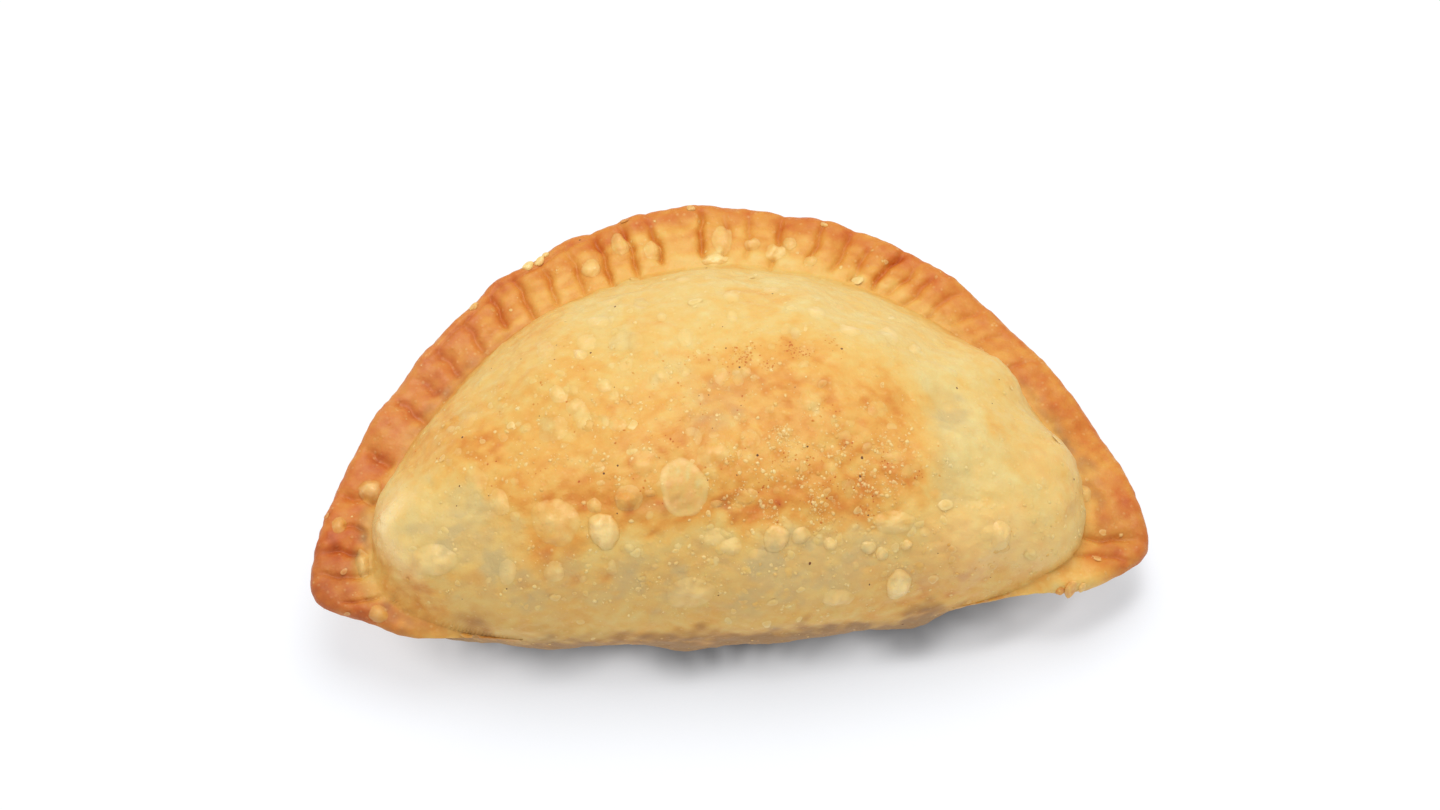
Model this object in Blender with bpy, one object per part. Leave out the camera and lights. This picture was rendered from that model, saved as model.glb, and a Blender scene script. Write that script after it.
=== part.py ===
"""Half-moon samosa: a disc of dough folded over its filling, crimped along the round edge and fried.

It is one solid, in metres. X runs along the fold, Y from the fold to the crimped edge and Z is up. The
pastry lies on the flattened underside of its belly, leaning a little onto the fold, so the crimped edge is
lifted at the back. The skin is a stack of closed rings, from the middle of the top sheet out to the edge and
back under to the middle of the bottom sheet. Raised blisters are joined to it at the end.
"""

import bmesh
import bpy
import numpy as np
from mathutils import Matrix, Vector

MM = 0.001

# The outer edge in plan: a round back edge and a bowed fold, tail tip to tail tip.
HALF_WIDTH = 71.5 * MM
EDGE_DEPTH = 71.6 * MM
EDGE_POWER = 1.31
FOLD_BOW = 9.8 * MM
TAIL_ROUNDING = 3.7 * MM

# Where the cut edge of the dough stands proud or falls short: bearing from the belly's middle, half width of
# the place as a turn, and how far out.
EDGE_BUMPS = (
    (-25, 4, 2.6),
    (-5, 12, 0.7),
    (45, 20, 0.5),
    (95, 14, 0.9),
    (118, 6, 0.8),
    (135, 4, 1.5),
    (155, 16, 0.5),
    (183, 12, 0.7),
    (200, 4, -1.8),
    (207, 4, 1.6),
)

# The foot of the belly in plan, where the filled part meets the crimped rim.
BELLY_HALF_WIDTH = 62.0 * MM
BELLY_DEPTH = 60.0 * MM
BELLY_POWER = 1.1
BELLY_BOW = 11.0 * MM
BELLY_ROUNDING = 8.0 * MM
BELLY_MIDDLE_Y = 22.0 * MM

# The section. Each sheet bulges as rise (1 - share^fullness)^steepness, and the sheets are pressed together
# at the rim. Along the fold there is no rim and the section is a round wall.
TOP_RISE = 25.0 * MM
BOTTOM_DROP = 20.0 * MM
BACK_FULLNESS = 2.2
FOLD_FULLNESS = 2.8
BACK_STEEPNESS = 0.8
WALL_STEEPNESS = 0.5
RIM_HALF_THICKNESS = 1.9 * MM
RIM_EDGE_RADIUS = 2.2 * MM
FOOT_FILLET_POWER = 3.0
WALL_TURN = np.radians(65)
DOME_TURN = np.radians(75)
RIM_STARTS = 0.3
FULL_BELLY_HEIGHT = 5.0 * MM
# The section changes from the fold's to the back's between these sines of the direction.
FOLD_SINES = (-0.8, 0)
BACK_SINES = (0.15, 0.85)
RIM_SWELL_SINES = (-0.5, 0.1)

# How it lies: the lean of the middle plane, the flat worn by its own weight, and the drooping right tail.
LEAN = np.radians(4.0)
FLATTENING = 1.6 * MM
TAIL_DROOP = 3.0 * MM
DROOP_START = 48.0 * MM

# Crimps of the fork, in millimetres: each one's place along the edge from the right tail's tip and its depth.
# They are close over the top, wide pinches down the left side and hardly there on the right.
CRIMPS = (
    (-8, 0.5), (-3, 1.1), (36, 0.35), (44, 0.3), (50, 0.4), (55, 0.45), (60, 0.6), (64, 0.7), (68, 1.2),
    (73, 0.7), (77.5, 0.7), (83, 0.9), (90.5, 0.9), (96.5, 0.5), (101.3, 0.7), (106, 1.3), (115.5, 1.35),
    (121, 1.1), (126.8, 1.15), (133, 0.7), (139, 0.9), (145, 0.8), (151, 1.0), (158, 0.7), (165, 1.25),
    (171, 0.7), (177, 1.25), (188, 1.2), (197, 0.7), (203, 0.7), (208, 0.8), (212.5, 0.7), (219, 0.5),
)
# Their half widths, and how far along each has moved from the belly's foot to the edge, by place along it.
CRIMP_WIDTHS = ((0, 60, 110, 150, 165, 190, 200, 225), (1.0, 0.8, 0.85, 1.0, 1.9, 1.9, 0.8, 0.8))
CRIMP_SLANTS = ((-10, 5, 40, 60, 115, 130, 150, 180, 200, 225), (4, 1, 0.5, 0, 0, -2.5, -5, -4, -5, -2))
CRIMP_PIVOT = 0.4
UNDERSIDE_CRIMP_SHARE = 0.4
UNDERSIDE_LUMP_SHARE = 0.5
EDGE_SCALLOP_SHARE = 0.4

# Slow swells of the dough over the filling and along the rim, as wavelength and height.
BELLY_SWELLS = ((34 * MM, 0.45 * MM), (15 * MM, 0.22 * MM))
RIM_SWELLS = ((24 * MM, 0.5 * MM), (9 * MM, 0.3 * MM))

# The face is the pastry as it shows from the front, this far above the middle plane. Places on it are given
# in millimetres: right of the middle, and up the face from the fold.
FACE_TURN = np.radians(64)

# Lumps and dents of the filling: place on the face, reach and height.
LUMPS = (
    (55, 17, 7, 2.0),
    (49, 31, 6, 1.6),
    (58, 5, 6, 0.8),
    (38, 14, 6.5, -1.8),
    (37, 27, 5, -1.3),
    (-44, 13, 8, -1.3),
    (-55, 12, 6, 0.9),
    (2, 21, 14, 0.9),
    (-20, 20, 12, 0.7),
    (-4, 8, 9, -0.9),
    (18, 5, 9, -0.7),
)

# The fold's lower edge sags in bulges between the places where it is held: place along it, reach and height.
SAGS = (
    (-52, 5, 2.6),
    (-40, 4, -1.3),
    (-31, 5, 1.3),
    (-19, 4, -1.6),
    (-8, 6, 2.9),
    (6, 4, -1.3),
    (14, 4, 1.1),
    (21, 3.5, -1.1),
    (30, 5, 3.2),
    (41, 4, -1.3),
)
SAG_Y = -5.5 * MM
SAG_Z = -11.0 * MM

# Blisters of the crust: place on the face, radius along and up the face, and height.
BLISTERS = (
    (-7.9, 16.6, 4.6, 4.8, 0.9),
    (-21.0, 11.0, 2.6, 3.2, 1.1),
    (-28.3, 13.0, 4.2, 4.6, 0.9),
    (-49.5, 7.6, 3.3, 3.0, 0.8),
    (-60.0, 19.6, 2.3, 2.1, 0.9),
    (27.0, -2.6, 2.4, 2.4, 0.8),
    (43.8, 5.2, 2.1, 2.6, 0.8),
    (5.6, 7.3, 2.5, 2.4, 0.8),
    (29.0, 8.6, 3.4, 2.6, 0.6),
    (17.5, -2.8, 3.2, 2.2, 0.6),
    (-14.2, 48.8, 2.8, 2.4, 0.6),
    (25.4, 55.3, 2.2, 2.2, 0.8),
    (-0.7, 59.8, 1.8, 2.6, 0.9),
    (1.7, 54.2, 2.6, 1.2, 0.6),
    (60.5, 11.0, 2.2, 1.8, 0.8),
    (-64.5, 12.5, 2.0, 1.8, 0.8),
    (-17.5, 16.5, 1.9, 1.8, 0.8),
    (0.5, 22.5, 3.4, 3.0, 0.5),
    (11.0, 5.5, 2.2, 1.9, 0.6),
)
BLISTER_SIDES = 12
BLISTER_SINK = 0.7 * MM
SHARP_ANGLE = np.radians(35)

# Rings: how many points each has, and how many there are. Counts halve once, from the rim to the belly.
RIM_POINTS = 240
BELLY_POINTS = 120
RIM_RINGS = 5
TOP_BELLY_RINGS = 13
BOTTOM_BELLY_RINGS = 7
SEED = 11

# The step of the skin's slopes, the place up to which its normal is straight up, and the grid of directions
# and places that a place on the face is searched in.
STEP = 1e-4
MIDDLE_PLACE = 0.01
SEARCH_DIRECTIONS = 720
SEARCH_PLACES = 200


def clear_scene():
    for obj in list(bpy.data.objects):
        bpy.data.objects.remove(obj, do_unlink=True)


def closed_outline(half_width, depth, power, bow, rounding, count=3600):
    """X and Y of evenly spaced points round a half-moon.

    The back edge is x = half_width sin t, y = depth cos(t)^power. The fold bows out by bow at its middle.
    The tails are rounded by averaging the outline along its own length with a bell curve.
    """
    turn = np.linspace(-np.pi / 2, np.pi / 2, count)
    across = np.linspace(1, -1, count)[1:-1]
    x = np.concatenate([half_width * np.sin(turn), half_width * across])
    y = np.concatenate([depth * np.cos(turn) ** power, -bow * (1 - across**2) ** 0.8])
    x, y = np.append(x, x[0]), np.append(y, y[0])
    run = np.concatenate([[0], np.cumsum(np.hypot(np.diff(x), np.diff(y)))])
    even = np.arange(count) * run[-1] / count
    waves = np.fft.rfftfreq(count, run[-1] / count)
    keep = np.exp(-2 * (np.pi * waves * rounding) ** 2)
    return [np.fft.irfft(np.fft.rfft(np.interp(even, run, v)) * keep, count) for v in (x, y)]


def polar(outline):
    """Directions and distances of an outline's points from the belly's middle, by rising direction."""
    x, y = outline[0], outline[1] - BELLY_MIDDLE_Y
    turn, distance = np.unwrap(np.arctan2(y, x)), np.hypot(x, y)
    order = slice(None, None, -1) if turn[-1] < turn[0] else slice(None)
    return turn[order], distance[order]


def distance_towards(outline, direction):
    turn, distance = polar(outline)
    wrapped = turn[0] + np.mod(direction - turn[0], 2 * np.pi)
    return np.interp(wrapped, np.append(turn, turn[0] + 2 * np.pi), np.append(distance, distance[0]))


def waves(x, y, length, seed, count=14):
    """A smooth, uneven surface about 1 high: plane waves of about one length, in seeded directions."""
    rng = np.random.default_rng(seed)
    total = np.zeros(np.broadcast(x, y).shape)
    for _ in range(count):
        heading, phase = rng.uniform(0, 2 * np.pi, 2)
        number = 2 * np.pi / (length * rng.uniform(0.75, 1.5))
        total += np.sin(number * (x * np.cos(heading) + y * np.sin(heading)) + phase)
    return total / np.sqrt(count / 2)


def smooth_step(value, low, high):
    share = np.clip((value - low) / (high - low), 0, 1)
    return share * share * (3 - 2 * share)


def unit(vectors):
    return vectors / (np.linalg.norm(vectors, axis=-1, keepdims=True) + 1e-12)


def nearest_on_face(points, x, up):
    """The index of the point that shows nearest to a place on the face, in millimetres."""
    shown_up = points[..., 1] * np.sin(FACE_TURN) + points[..., 2] * np.cos(FACE_TURN)
    gap = np.hypot(points[..., 0] - x * MM, shown_up - up * MM)
    return np.unravel_index(np.argmin(gap), gap.shape)


class Pastry:
    """The skin of the pastry as a function of direction round the belly's middle and of place v: 0 at the
    middle, 1 about the foot of the belly and 2 at the outer edge."""

    def __init__(self):
        self.edge = self.uneven(
            closed_outline(HALF_WIDTH, EDGE_DEPTH, EDGE_POWER, FOLD_BOW, TAIL_ROUNDING)
        )
        self.foot = closed_outline(
            BELLY_HALF_WIDTH, BELLY_DEPTH, BELLY_POWER, BELLY_BOW, BELLY_ROUNDING
        )
        turn, distance = polar(self.edge)
        x, y = distance * np.cos(turn), distance * np.sin(turn)
        self.turn = turn
        self.run = np.concatenate([[0], np.cumsum(np.hypot(np.diff(x), np.diff(y)))])
        self.right_tip = self.run[np.argmax(x)]
        self.lumps = [(self.find(x, up), reach, height) for x, up, reach, height in LUMPS]
        self.lumps += [(np.array([x * MM, SAG_Y, SAG_Z]), reach, height) for x, reach, height in SAGS]

    @staticmethod
    def uneven(outline):
        """The outline with its bumps: bell curves by bearing, pushed out from the belly's middle."""
        x, y = outline[0], outline[1] - BELLY_MIDDLE_Y
        bearing, distance = np.degrees(np.arctan2(y, x)), np.hypot(x, y)
        grown = distance.copy()
        for middle, half, height in EDGE_BUMPS:
            gap = (np.mod(bearing - middle + 180, 360) - 180) / half
            grown += height * MM * np.exp(-(gap**2))
        return [x * grown / distance, y * grown / distance + BELLY_MIDDLE_Y]

    def along(self, direction):
        """Length run along the outer edge from the right tail tip."""
        wrapped = self.turn[0] + np.mod(direction - self.turn[0], 2 * np.pi)
        run = np.interp(wrapped, self.turn, self.run) - self.right_tip
        return np.mod(run + self.run[-1] / 4, self.run[-1]) - self.run[-1] / 4

    def directions(self, count):
        """Directions whose points on the outer edge are evenly spaced."""
        return np.interp(np.arange(count) * self.run[-1] / count, self.run, self.turn)

    def pressed(self, direction, share):
        """How deep the crimps press the rim. Grooves are bell curves across, and slant over the rim."""
        along, total = self.along(direction) / MM, 0
        for at, depth in CRIMPS:
            shift = np.interp(at, *CRIMP_SLANTS) * (share - CRIMP_PIVOT)
            gap = (along - at - shift) / np.interp(at, *CRIMP_WIDTHS)
            total = total + depth * MM * np.exp(-(gap**2))
        return total

    def smooth_skin(self, direction, v, side):
        """Points of the top (side 1) or bottom (side -1) sheet without relief, and shares of the belly's
        height and of the rim there."""
        edge = distance_towards(self.edge, direction)
        foot = np.minimum(distance_towards(self.foot, direction), edge)
        wall = edge * np.sin(WALL_TURN)
        rimmed = smooth_step(edge - foot, RIM_STARTS * (edge - wall), edge - wall)
        inner = np.minimum(foot, wall)
        share = np.clip(v - 1, 0, 1)
        dome = inner * np.sin(np.clip(v, 0, 1) * DOME_TURN) / np.sin(DOME_TURN)
        round_wall = edge * np.sin(WALL_TURN + share * (np.pi / 2 - WALL_TURN))
        flat_rim = inner + share * (edge - inner)
        out = np.where(v <= 1, dome, round_wall + rimmed * (flat_rim - round_wall))

        sine = np.sin(direction)
        fullness = FOLD_FULLNESS + (BACK_FULLNESS - FOLD_FULLNESS) * smooth_step(sine, *FOLD_SINES)
        steepness = WALL_STEEPNESS + (BACK_STEEPNESS - WALL_STEEPNESS) * smooth_step(sine, *BACK_SINES)
        raised = np.clip(1 - (out / np.maximum(foot, 1e-6)) ** fullness, 0, 1) ** steepness
        rounding = np.clip(1 - (edge - out) / RIM_EDGE_RADIUS, 0, 1)
        rim = RIM_HALF_THICKNESS * rimmed * np.sqrt(1 - rounding**2)
        belly = (TOP_RISE if side > 0 else BOTTOM_DROP) * raised
        height = (belly**FOOT_FILLET_POWER + rim**FOOT_FILLET_POWER) ** (1 / FOOT_FILLET_POWER)
        x = out * np.cos(direction)
        y = BELLY_MIDDLE_Y + out * np.sin(direction)
        on_belly = smooth_step(belly, 0, FULL_BELLY_HEIGHT)
        on_rim = rimmed * np.sqrt(1 - rounding**2) * (1 - on_belly)
        return np.stack([x, y, side * height], -1), on_belly, on_rim

    def smooth_normal(self, direction, v, side):
        """Outward direction of the sheet, from small steps along and across it."""
        near = np.clip(v, MIDDLE_PLACE / 5, 2 - 10 * STEP)
        around = self.between(direction - STEP, v, direction + STEP, v, side)
        outwards = self.between(direction, near - STEP, direction, near + STEP, side)
        normal = unit(np.cross(outwards, around)) * side
        return np.where((v < MIDDLE_PLACE)[..., None], np.array([0.0, 0.0, side]), normal)

    def between(self, direction, v, next_direction, next_v, side):
        """The way from one point of the sheet without relief to another."""
        return self.smooth_skin(next_direction, next_v, side)[0] - self.smooth_skin(direction, v, side)[0]

    def find(self, x, up):
        """The point of the top sheet that shows at a place on the face, in millimetres."""
        places = np.linspace(0, 2, SEARCH_PLACES)
        points = self.smooth_skin(*np.meshgrid(self.directions(SEARCH_DIRECTIONS), places), 1)[0]
        return points[nearest_on_face(points, x, up)]

    def skin(self, direction, v, side):
        """Points of a sheet with its relief, rows along v and columns along direction."""
        direction, v = np.broadcast_arrays(direction[None, :], v[:, None])
        place, on_belly, on_rim = self.smooth_skin(direction, v, side)
        normal = self.smooth_normal(direction, v, side)
        x, y = place[..., 0].copy(), place[..., 1].copy()
        along = self.along(direction)
        share = np.clip(v - 1, 0, 1)

        relief = sum(
            height * waves(x, y, length, SEED + i + (20 if side > 0 else 0))
            for i, (length, height) in enumerate(BELLY_SWELLS)
        )
        for middle, reach, height in self.lumps:
            gap = np.linalg.norm(place - middle, axis=-1) / (reach * MM)
            relief = relief + height * MM * np.exp(-(gap**2))
        relief = relief * on_belly * (1 if side > 0 else UNDERSIDE_LUMP_SHARE)

        pressed = self.pressed(direction, share)
        across = smooth_step(share, 0, 0.2) * (1 - 0.8 * smooth_step(share, 0.6, 1))
        relief = relief - pressed * across * on_rim * (1 if side > 0 else UNDERSIDE_CRIMP_SHARE)
        place = place + normal * relief[..., None]

        out = np.stack([np.cos(direction), np.sin(direction), 0 * direction], -1)
        rim_share = smooth_step(share, 0.3, 1) * smooth_step(on_rim + share, 0.2, 1)
        place -= out * (EDGE_SCALLOP_SHARE * pressed * rim_share)[..., None]
        wave = sum(h * waves(along, 0 * along, w, SEED + 30 + i) for i, (w, h) in enumerate(RIM_SWELLS))
        place[..., 2] += wave * share * smooth_step(np.sin(direction), *RIM_SWELL_SINES)
        place[..., 2] -= TAIL_DROOP * smooth_step(x, DROOP_START, HALF_WIDTH)
        return place


def lay_down(points, floor):
    """Leans the middle plane onto the fold, and rests it at a height of 0."""
    x, y, z = points[..., 0], points[..., 1], points[..., 2]
    up = y * np.sin(LEAN) + z * np.cos(LEAN)
    return np.stack([x, y * np.cos(LEAN) - z * np.sin(LEAN), np.maximum(up - floor, 0)], -1)


def stitch(mesh, outer, inner):
    """Faces between two rings. The inner one has as many points as the outer one, or half as many."""
    count = len(inner)
    for i in range(count):
        j = (i + 1) % count
        if len(outer) == count:
            mesh.faces.new((outer[i], outer[j], inner[j], inner[i]))
            continue
        first, middle, last = outer[2 * i], outer[2 * i + 1], outer[(2 * i + 2) % len(outer)]
        mesh.faces.new((first, middle, inner[i]))
        mesh.faces.new((middle, inner[j], inner[i]))
        mesh.faces.new((middle, last, inner[j]))


def make_skin(pastry):
    """The closed surface, from rings of the top sheet, the outer edge and rings of the bottom sheet."""
    rim = pastry.directions(RIM_POINTS)
    belly = rim[:: RIM_POINTS // BELLY_POINTS]
    rim_places = 1 + np.linspace(0, 1, RIM_RINGS + 1)
    sheets = {}
    for side, rings in ((1, TOP_BELLY_RINGS), (-1, BOTTOM_BELLY_RINGS)):
        belly_places = np.linspace(0, 1, rings + 1)[:-1]
        sheets[side] = pastry.skin(belly, belly_places, side), pastry.skin(rim, rim_places, side)
    under = sheets[-1][0]
    floor = (under[..., 1] * np.sin(LEAN) + under[..., 2] * np.cos(LEAN)).min() + FLATTENING
    mesh = bmesh.new()
    edge_ring = None
    for belly_points, rim_points in sheets.values():
        middle = mesh.verts.new(lay_down(belly_points[0, 0], floor))
        rings = [[mesh.verts.new(p) for p in lay_down(row, floor)] for row in belly_points[1:]]
        rings += [[mesh.verts.new(p) for p in lay_down(row, floor)] for row in rim_points[:-1]]
        if edge_ring is None:
            edge_ring = [mesh.verts.new(p) for p in lay_down(rim_points[-1], floor)]
        rings.append(edge_ring)
        for inner, outer in zip(rings, rings[1:]):
            stitch(mesh, outer, inner)
        first = rings[0]
        for i, vertex in enumerate(first):
            mesh.faces.new((middle, vertex, first[(i + 1) % len(first)]))
    bmesh.ops.recalc_face_normals(mesh, faces=mesh.faces)
    return mesh, floor


def make_blister(collection, material, middle, normal, wide, tall, height):
    """A low dome on the skin: the cap of a flattened ball, sunk so that only its cap shows."""
    across = unit(np.cross(np.array([0.0, 1.0, 0.0]), normal))
    up = np.cross(normal, across)
    sink = BLISTER_SINK
    half_height = height + sink
    grow = 1 / np.sqrt(1 - (sink / half_height) ** 2)
    axes = np.stack([across * wide * grow, up * tall * grow, normal * half_height], 1)
    frame = Matrix([[*row, 0] for row in axes] + [[0, 0, 0, 1]])
    frame = Matrix.Translation(Vector(middle - normal * sink)) @ frame
    mesh = bmesh.new()
    bmesh.ops.create_uvsphere(
        mesh, u_segments=BLISTER_SIDES, v_segments=BLISTER_SIDES // 2, radius=1, matrix=frame
    )
    bmesh.ops.recalc_face_normals(mesh, faces=mesh.faces)
    data = bpy.data.meshes.new("blister")
    mesh.to_mesh(data)
    mesh.free()
    data.materials.append(material)
    collection.objects.link(bpy.data.objects.new("blister", data))


def crust_material():
    material = bpy.data.materials.new("fried_crust")
    material.use_nodes = True
    shader = material.node_tree.nodes["Principled BSDF"]
    shader.inputs["Base Color"].default_value = (0.84, 0.55, 0.22, 1)
    shader.inputs["Roughness"].default_value = 0.42
    shader.inputs["Metallic"].default_value = 0
    return material


def add_blisters(pastry, floor, collection, material):
    """A dome at each listed place, square to the laid-down skin there."""
    places = np.linspace(MIDDLE_PLACE, 2, SEARCH_PLACES)
    shown = pastry.skin(pastry.directions(SEARCH_DIRECTIONS), places, 1)
    top = lay_down(shown, floor)
    normals = unit(np.cross(np.gradient(top, axis=0), np.roll(top, -1, 1) - np.roll(top, 1, 1)))
    for x, up, wide, tall, height in BLISTERS:
        at = nearest_on_face(shown, x, up)
        make_blister(collection, material, top[at], normals[at], wide * MM, tall * MM, height * MM)


def join(target, collection):
    """Unites an object with a collection's objects, and removes them."""
    union = target.modifiers.new("join blisters", "BOOLEAN")
    union.operation = "UNION"
    union.operand_type = "COLLECTION"
    union.collection = collection
    union.solver = "EXACT"
    bpy.context.view_layer.update()
    evaluated = target.evaluated_get(bpy.context.evaluated_depsgraph_get())
    joined = bpy.data.meshes.new_from_object(evaluated)
    target.modifiers.clear()
    target.data = joined
    for obj in list(collection.objects):
        bpy.data.objects.remove(obj, do_unlink=True)
    bpy.data.collections.remove(collection)


def stand_at_origin(data):
    """Moves the mesh so that its box is centred over the origin and rests at height 0."""
    corners = np.array([vertex.co for vertex in data.vertices])
    low, high = corners.min(0), corners.max(0)
    data.transform(Matrix.Translation((-(low[0] + high[0]) / 2, -(low[1] + high[1]) / 2, -low[2])))


def main():
    clear_scene()
    material = crust_material()
    pastry = Pastry()
    skin, floor = make_skin(pastry)
    data = bpy.data.meshes.new("samosa skin")
    skin.to_mesh(data)
    skin.free()
    data.materials.append(material)
    samosa = bpy.data.objects.new("samosa", data)
    bpy.context.scene.collection.objects.link(samosa)

    blisters = bpy.data.collections.new("blisters")
    bpy.context.scene.collection.children.link(blisters)
    add_blisters(pastry, floor, blisters, material)
    join(samosa, blisters)
    stand_at_origin(samosa.data)
    samosa.data.name = "samosa"
    samosa.data.shade_smooth()
    samosa.data.set_sharp_from_angle(angle=SHARP_ANGLE)


main()
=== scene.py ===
import bpy
import numpy as np
from mathutils import Matrix, Vector


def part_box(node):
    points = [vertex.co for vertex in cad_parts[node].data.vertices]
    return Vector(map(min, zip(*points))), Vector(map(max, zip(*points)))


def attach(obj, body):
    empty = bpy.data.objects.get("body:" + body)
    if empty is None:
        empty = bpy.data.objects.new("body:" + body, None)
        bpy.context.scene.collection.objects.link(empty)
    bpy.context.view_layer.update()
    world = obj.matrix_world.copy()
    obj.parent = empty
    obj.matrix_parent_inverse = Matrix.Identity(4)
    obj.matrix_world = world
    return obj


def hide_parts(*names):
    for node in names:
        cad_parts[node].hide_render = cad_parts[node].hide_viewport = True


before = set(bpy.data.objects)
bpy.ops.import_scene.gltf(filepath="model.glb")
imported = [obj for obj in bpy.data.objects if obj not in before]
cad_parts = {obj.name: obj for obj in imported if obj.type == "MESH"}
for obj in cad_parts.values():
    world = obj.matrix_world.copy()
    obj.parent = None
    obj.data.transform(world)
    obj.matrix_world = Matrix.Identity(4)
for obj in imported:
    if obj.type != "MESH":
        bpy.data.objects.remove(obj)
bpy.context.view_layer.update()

# ---- The dough -------------------------------------------
# A disc of wheat dough is folded over its filling, and its round edge is pressed together and crimped. The
# skin is a function of direction round the belly's middle and of place v, for the top or the bottom sheet: v
# is 0 at the middle, 1 about the foot of the belly and 2 at the outer edge.
MM = 0.001
pastry_low, pastry_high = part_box("samosa")
half_width = (pastry_high.x - pastry_low.x) / 2 + 0.6 * MM
edge_depth = 71.6 * MM
belly_half_width = half_width - 9.5 * MM
belly_depth = 60.0 * MM
belly_middle_y = 22.0 * MM
top_rise = 25.0 * MM
bottom_drop = 20.0 * MM
rim_half_thickness = 1.9 * MM
rim_edge_radius = 2.2 * MM
wall_turn = np.radians(65)
dome_turn = np.radians(75)
lean = np.radians(4.0)
flattening = 1.6 * MM
tail_droop = 3.0 * MM
droop_start = 48.0 * MM

# Where the cut edge stands proud or falls short: bearing, half width of the place as a turn, and how far out.
edge_bumps = (
    (-25, 4, 2.6), (-5, 12, 0.7), (45, 20, 0.5), (95, 14, 0.9), (118, 6, 0.8),
    (135, 4, 1.5), (155, 16, 0.5), (183, 12, 0.7), (200, 4, -1.8), (207, 4, 1.6),
)


def closed_outline(half_width, depth, power, bow, rounding, count=3600):
    """X and Y of evenly spaced points round a half-moon. The back edge is x = half_width sin t and
    y = depth cos(t)^power, the fold bows out by bow, and the whole is averaged along its length with a bell
    curve as wide as rounding."""
    turn = np.linspace(-np.pi / 2, np.pi / 2, count)
    across = np.linspace(1, -1, count)[1:-1]
    x = np.concatenate([half_width * np.sin(turn), half_width * across])
    y = np.concatenate([depth * np.cos(turn) ** power, -bow * (1 - across**2) ** 0.8])
    x, y = np.append(x, x[0]), np.append(y, y[0])
    run = np.concatenate([[0], np.cumsum(np.hypot(np.diff(x), np.diff(y)))])
    even = np.arange(count) * run[-1] / count
    frequencies = np.fft.rfftfreq(count, run[-1] / count)
    keep = np.exp(-2 * (np.pi * frequencies * rounding) ** 2)
    return [np.fft.irfft(np.fft.rfft(np.interp(even, run, v)) * keep, count) for v in (x, y)]


def with_bumps(outline):
    """The outline pushed out from the belly's middle by a bell curve for each bump, by bearing."""
    x, y = outline[0], outline[1] - belly_middle_y
    bearing, distance = np.degrees(np.arctan2(y, x)), np.hypot(x, y)
    grown = distance.copy()
    for middle, half, height in edge_bumps:
        gap = (np.mod(bearing - middle + 180, 360) - 180) / half
        grown += height * MM * np.exp(-(gap**2))
    return [x * grown / distance, y * grown / distance + belly_middle_y]


def polar(outline):
    """Directions and distances of an outline's points from the belly's middle, by rising direction."""
    x, y = outline[0], outline[1] - belly_middle_y
    turn, distance = np.unwrap(np.arctan2(y, x)), np.hypot(x, y)
    order = slice(None, None, -1) if turn[-1] < turn[0] else slice(None)
    return turn[order], distance[order]


def distance_towards(outline, direction):
    """How far the outline is from the belly's middle in each direction."""
    turn, distance = outline
    wrapped = turn[0] + np.mod(direction - turn[0], 2 * np.pi)
    return np.interp(wrapped, np.append(turn, turn[0] + 2 * np.pi), np.append(distance, distance[0]))


def smooth_step(value, low, high):
    """0 below low, 1 above high, and a smooth S between."""
    share = np.clip((value - low) / (high - low), 0, 1)
    return share * share * (3 - 2 * share)


def unit(vectors):
    """The vectors at length 1."""
    return vectors / (np.linalg.norm(vectors, axis=-1, keepdims=True) + 1e-12)


def waves(x, y, length, seed, count=14):
    """A smooth uneven surface about 1 high: a sum of sines of about one length in seeded directions."""
    rng = np.random.default_rng(seed)
    total = np.zeros(np.broadcast(x, y).shape)
    for _ in range(count):
        heading, phase = rng.uniform(0, 2 * np.pi, 2)
        number = 2 * np.pi / (length * rng.uniform(0.75, 1.5))
        total += np.sin(number * (x * np.cos(heading) + y * np.sin(heading)) + phase)
    return total / np.sqrt(count / 2)


def grain(points, length, seed, count=24):
    """The same in space, by points, for patterns that run round the dough without stretching."""
    rng = np.random.default_rng(seed)
    headings = unit(rng.normal(size=(count, 3))) * 2 * np.pi / (length * rng.uniform(0.7, 1.5, (count, 1)))
    phases = rng.uniform(0, 2 * np.pi, count)
    total = sum(np.sin(points @ heading + phase) for heading, phase in zip(headings, phases))
    return total / np.sqrt(count / 2)


edge_outline = polar(with_bumps(
    closed_outline(half_width, edge_depth, power=1.31, bow=9.8 * MM, rounding=3.7 * MM)
))
foot_outline = polar(
    closed_outline(belly_half_width, belly_depth, power=1.1, bow=11.0 * MM, rounding=8.0 * MM)
)
edge_x = edge_outline[1] * np.cos(edge_outline[0])
edge_y = edge_outline[1] * np.sin(edge_outline[0])
edge_run = np.concatenate([[0], np.cumsum(np.hypot(np.diff(edge_x), np.diff(edge_y)))])
right_tail = edge_run[np.argmax(edge_x)]


def along_edge(direction):
    """Length run along the outer edge from the right tail tip, and below 0 on the fold beside it."""
    wrapped = edge_outline[0][0] + np.mod(direction - edge_outline[0][0], 2 * np.pi)
    run = np.interp(wrapped, edge_outline[0], edge_run) - right_tail
    return np.mod(run + edge_run[-1] / 4, edge_run[-1]) - edge_run[-1] / 4


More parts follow.
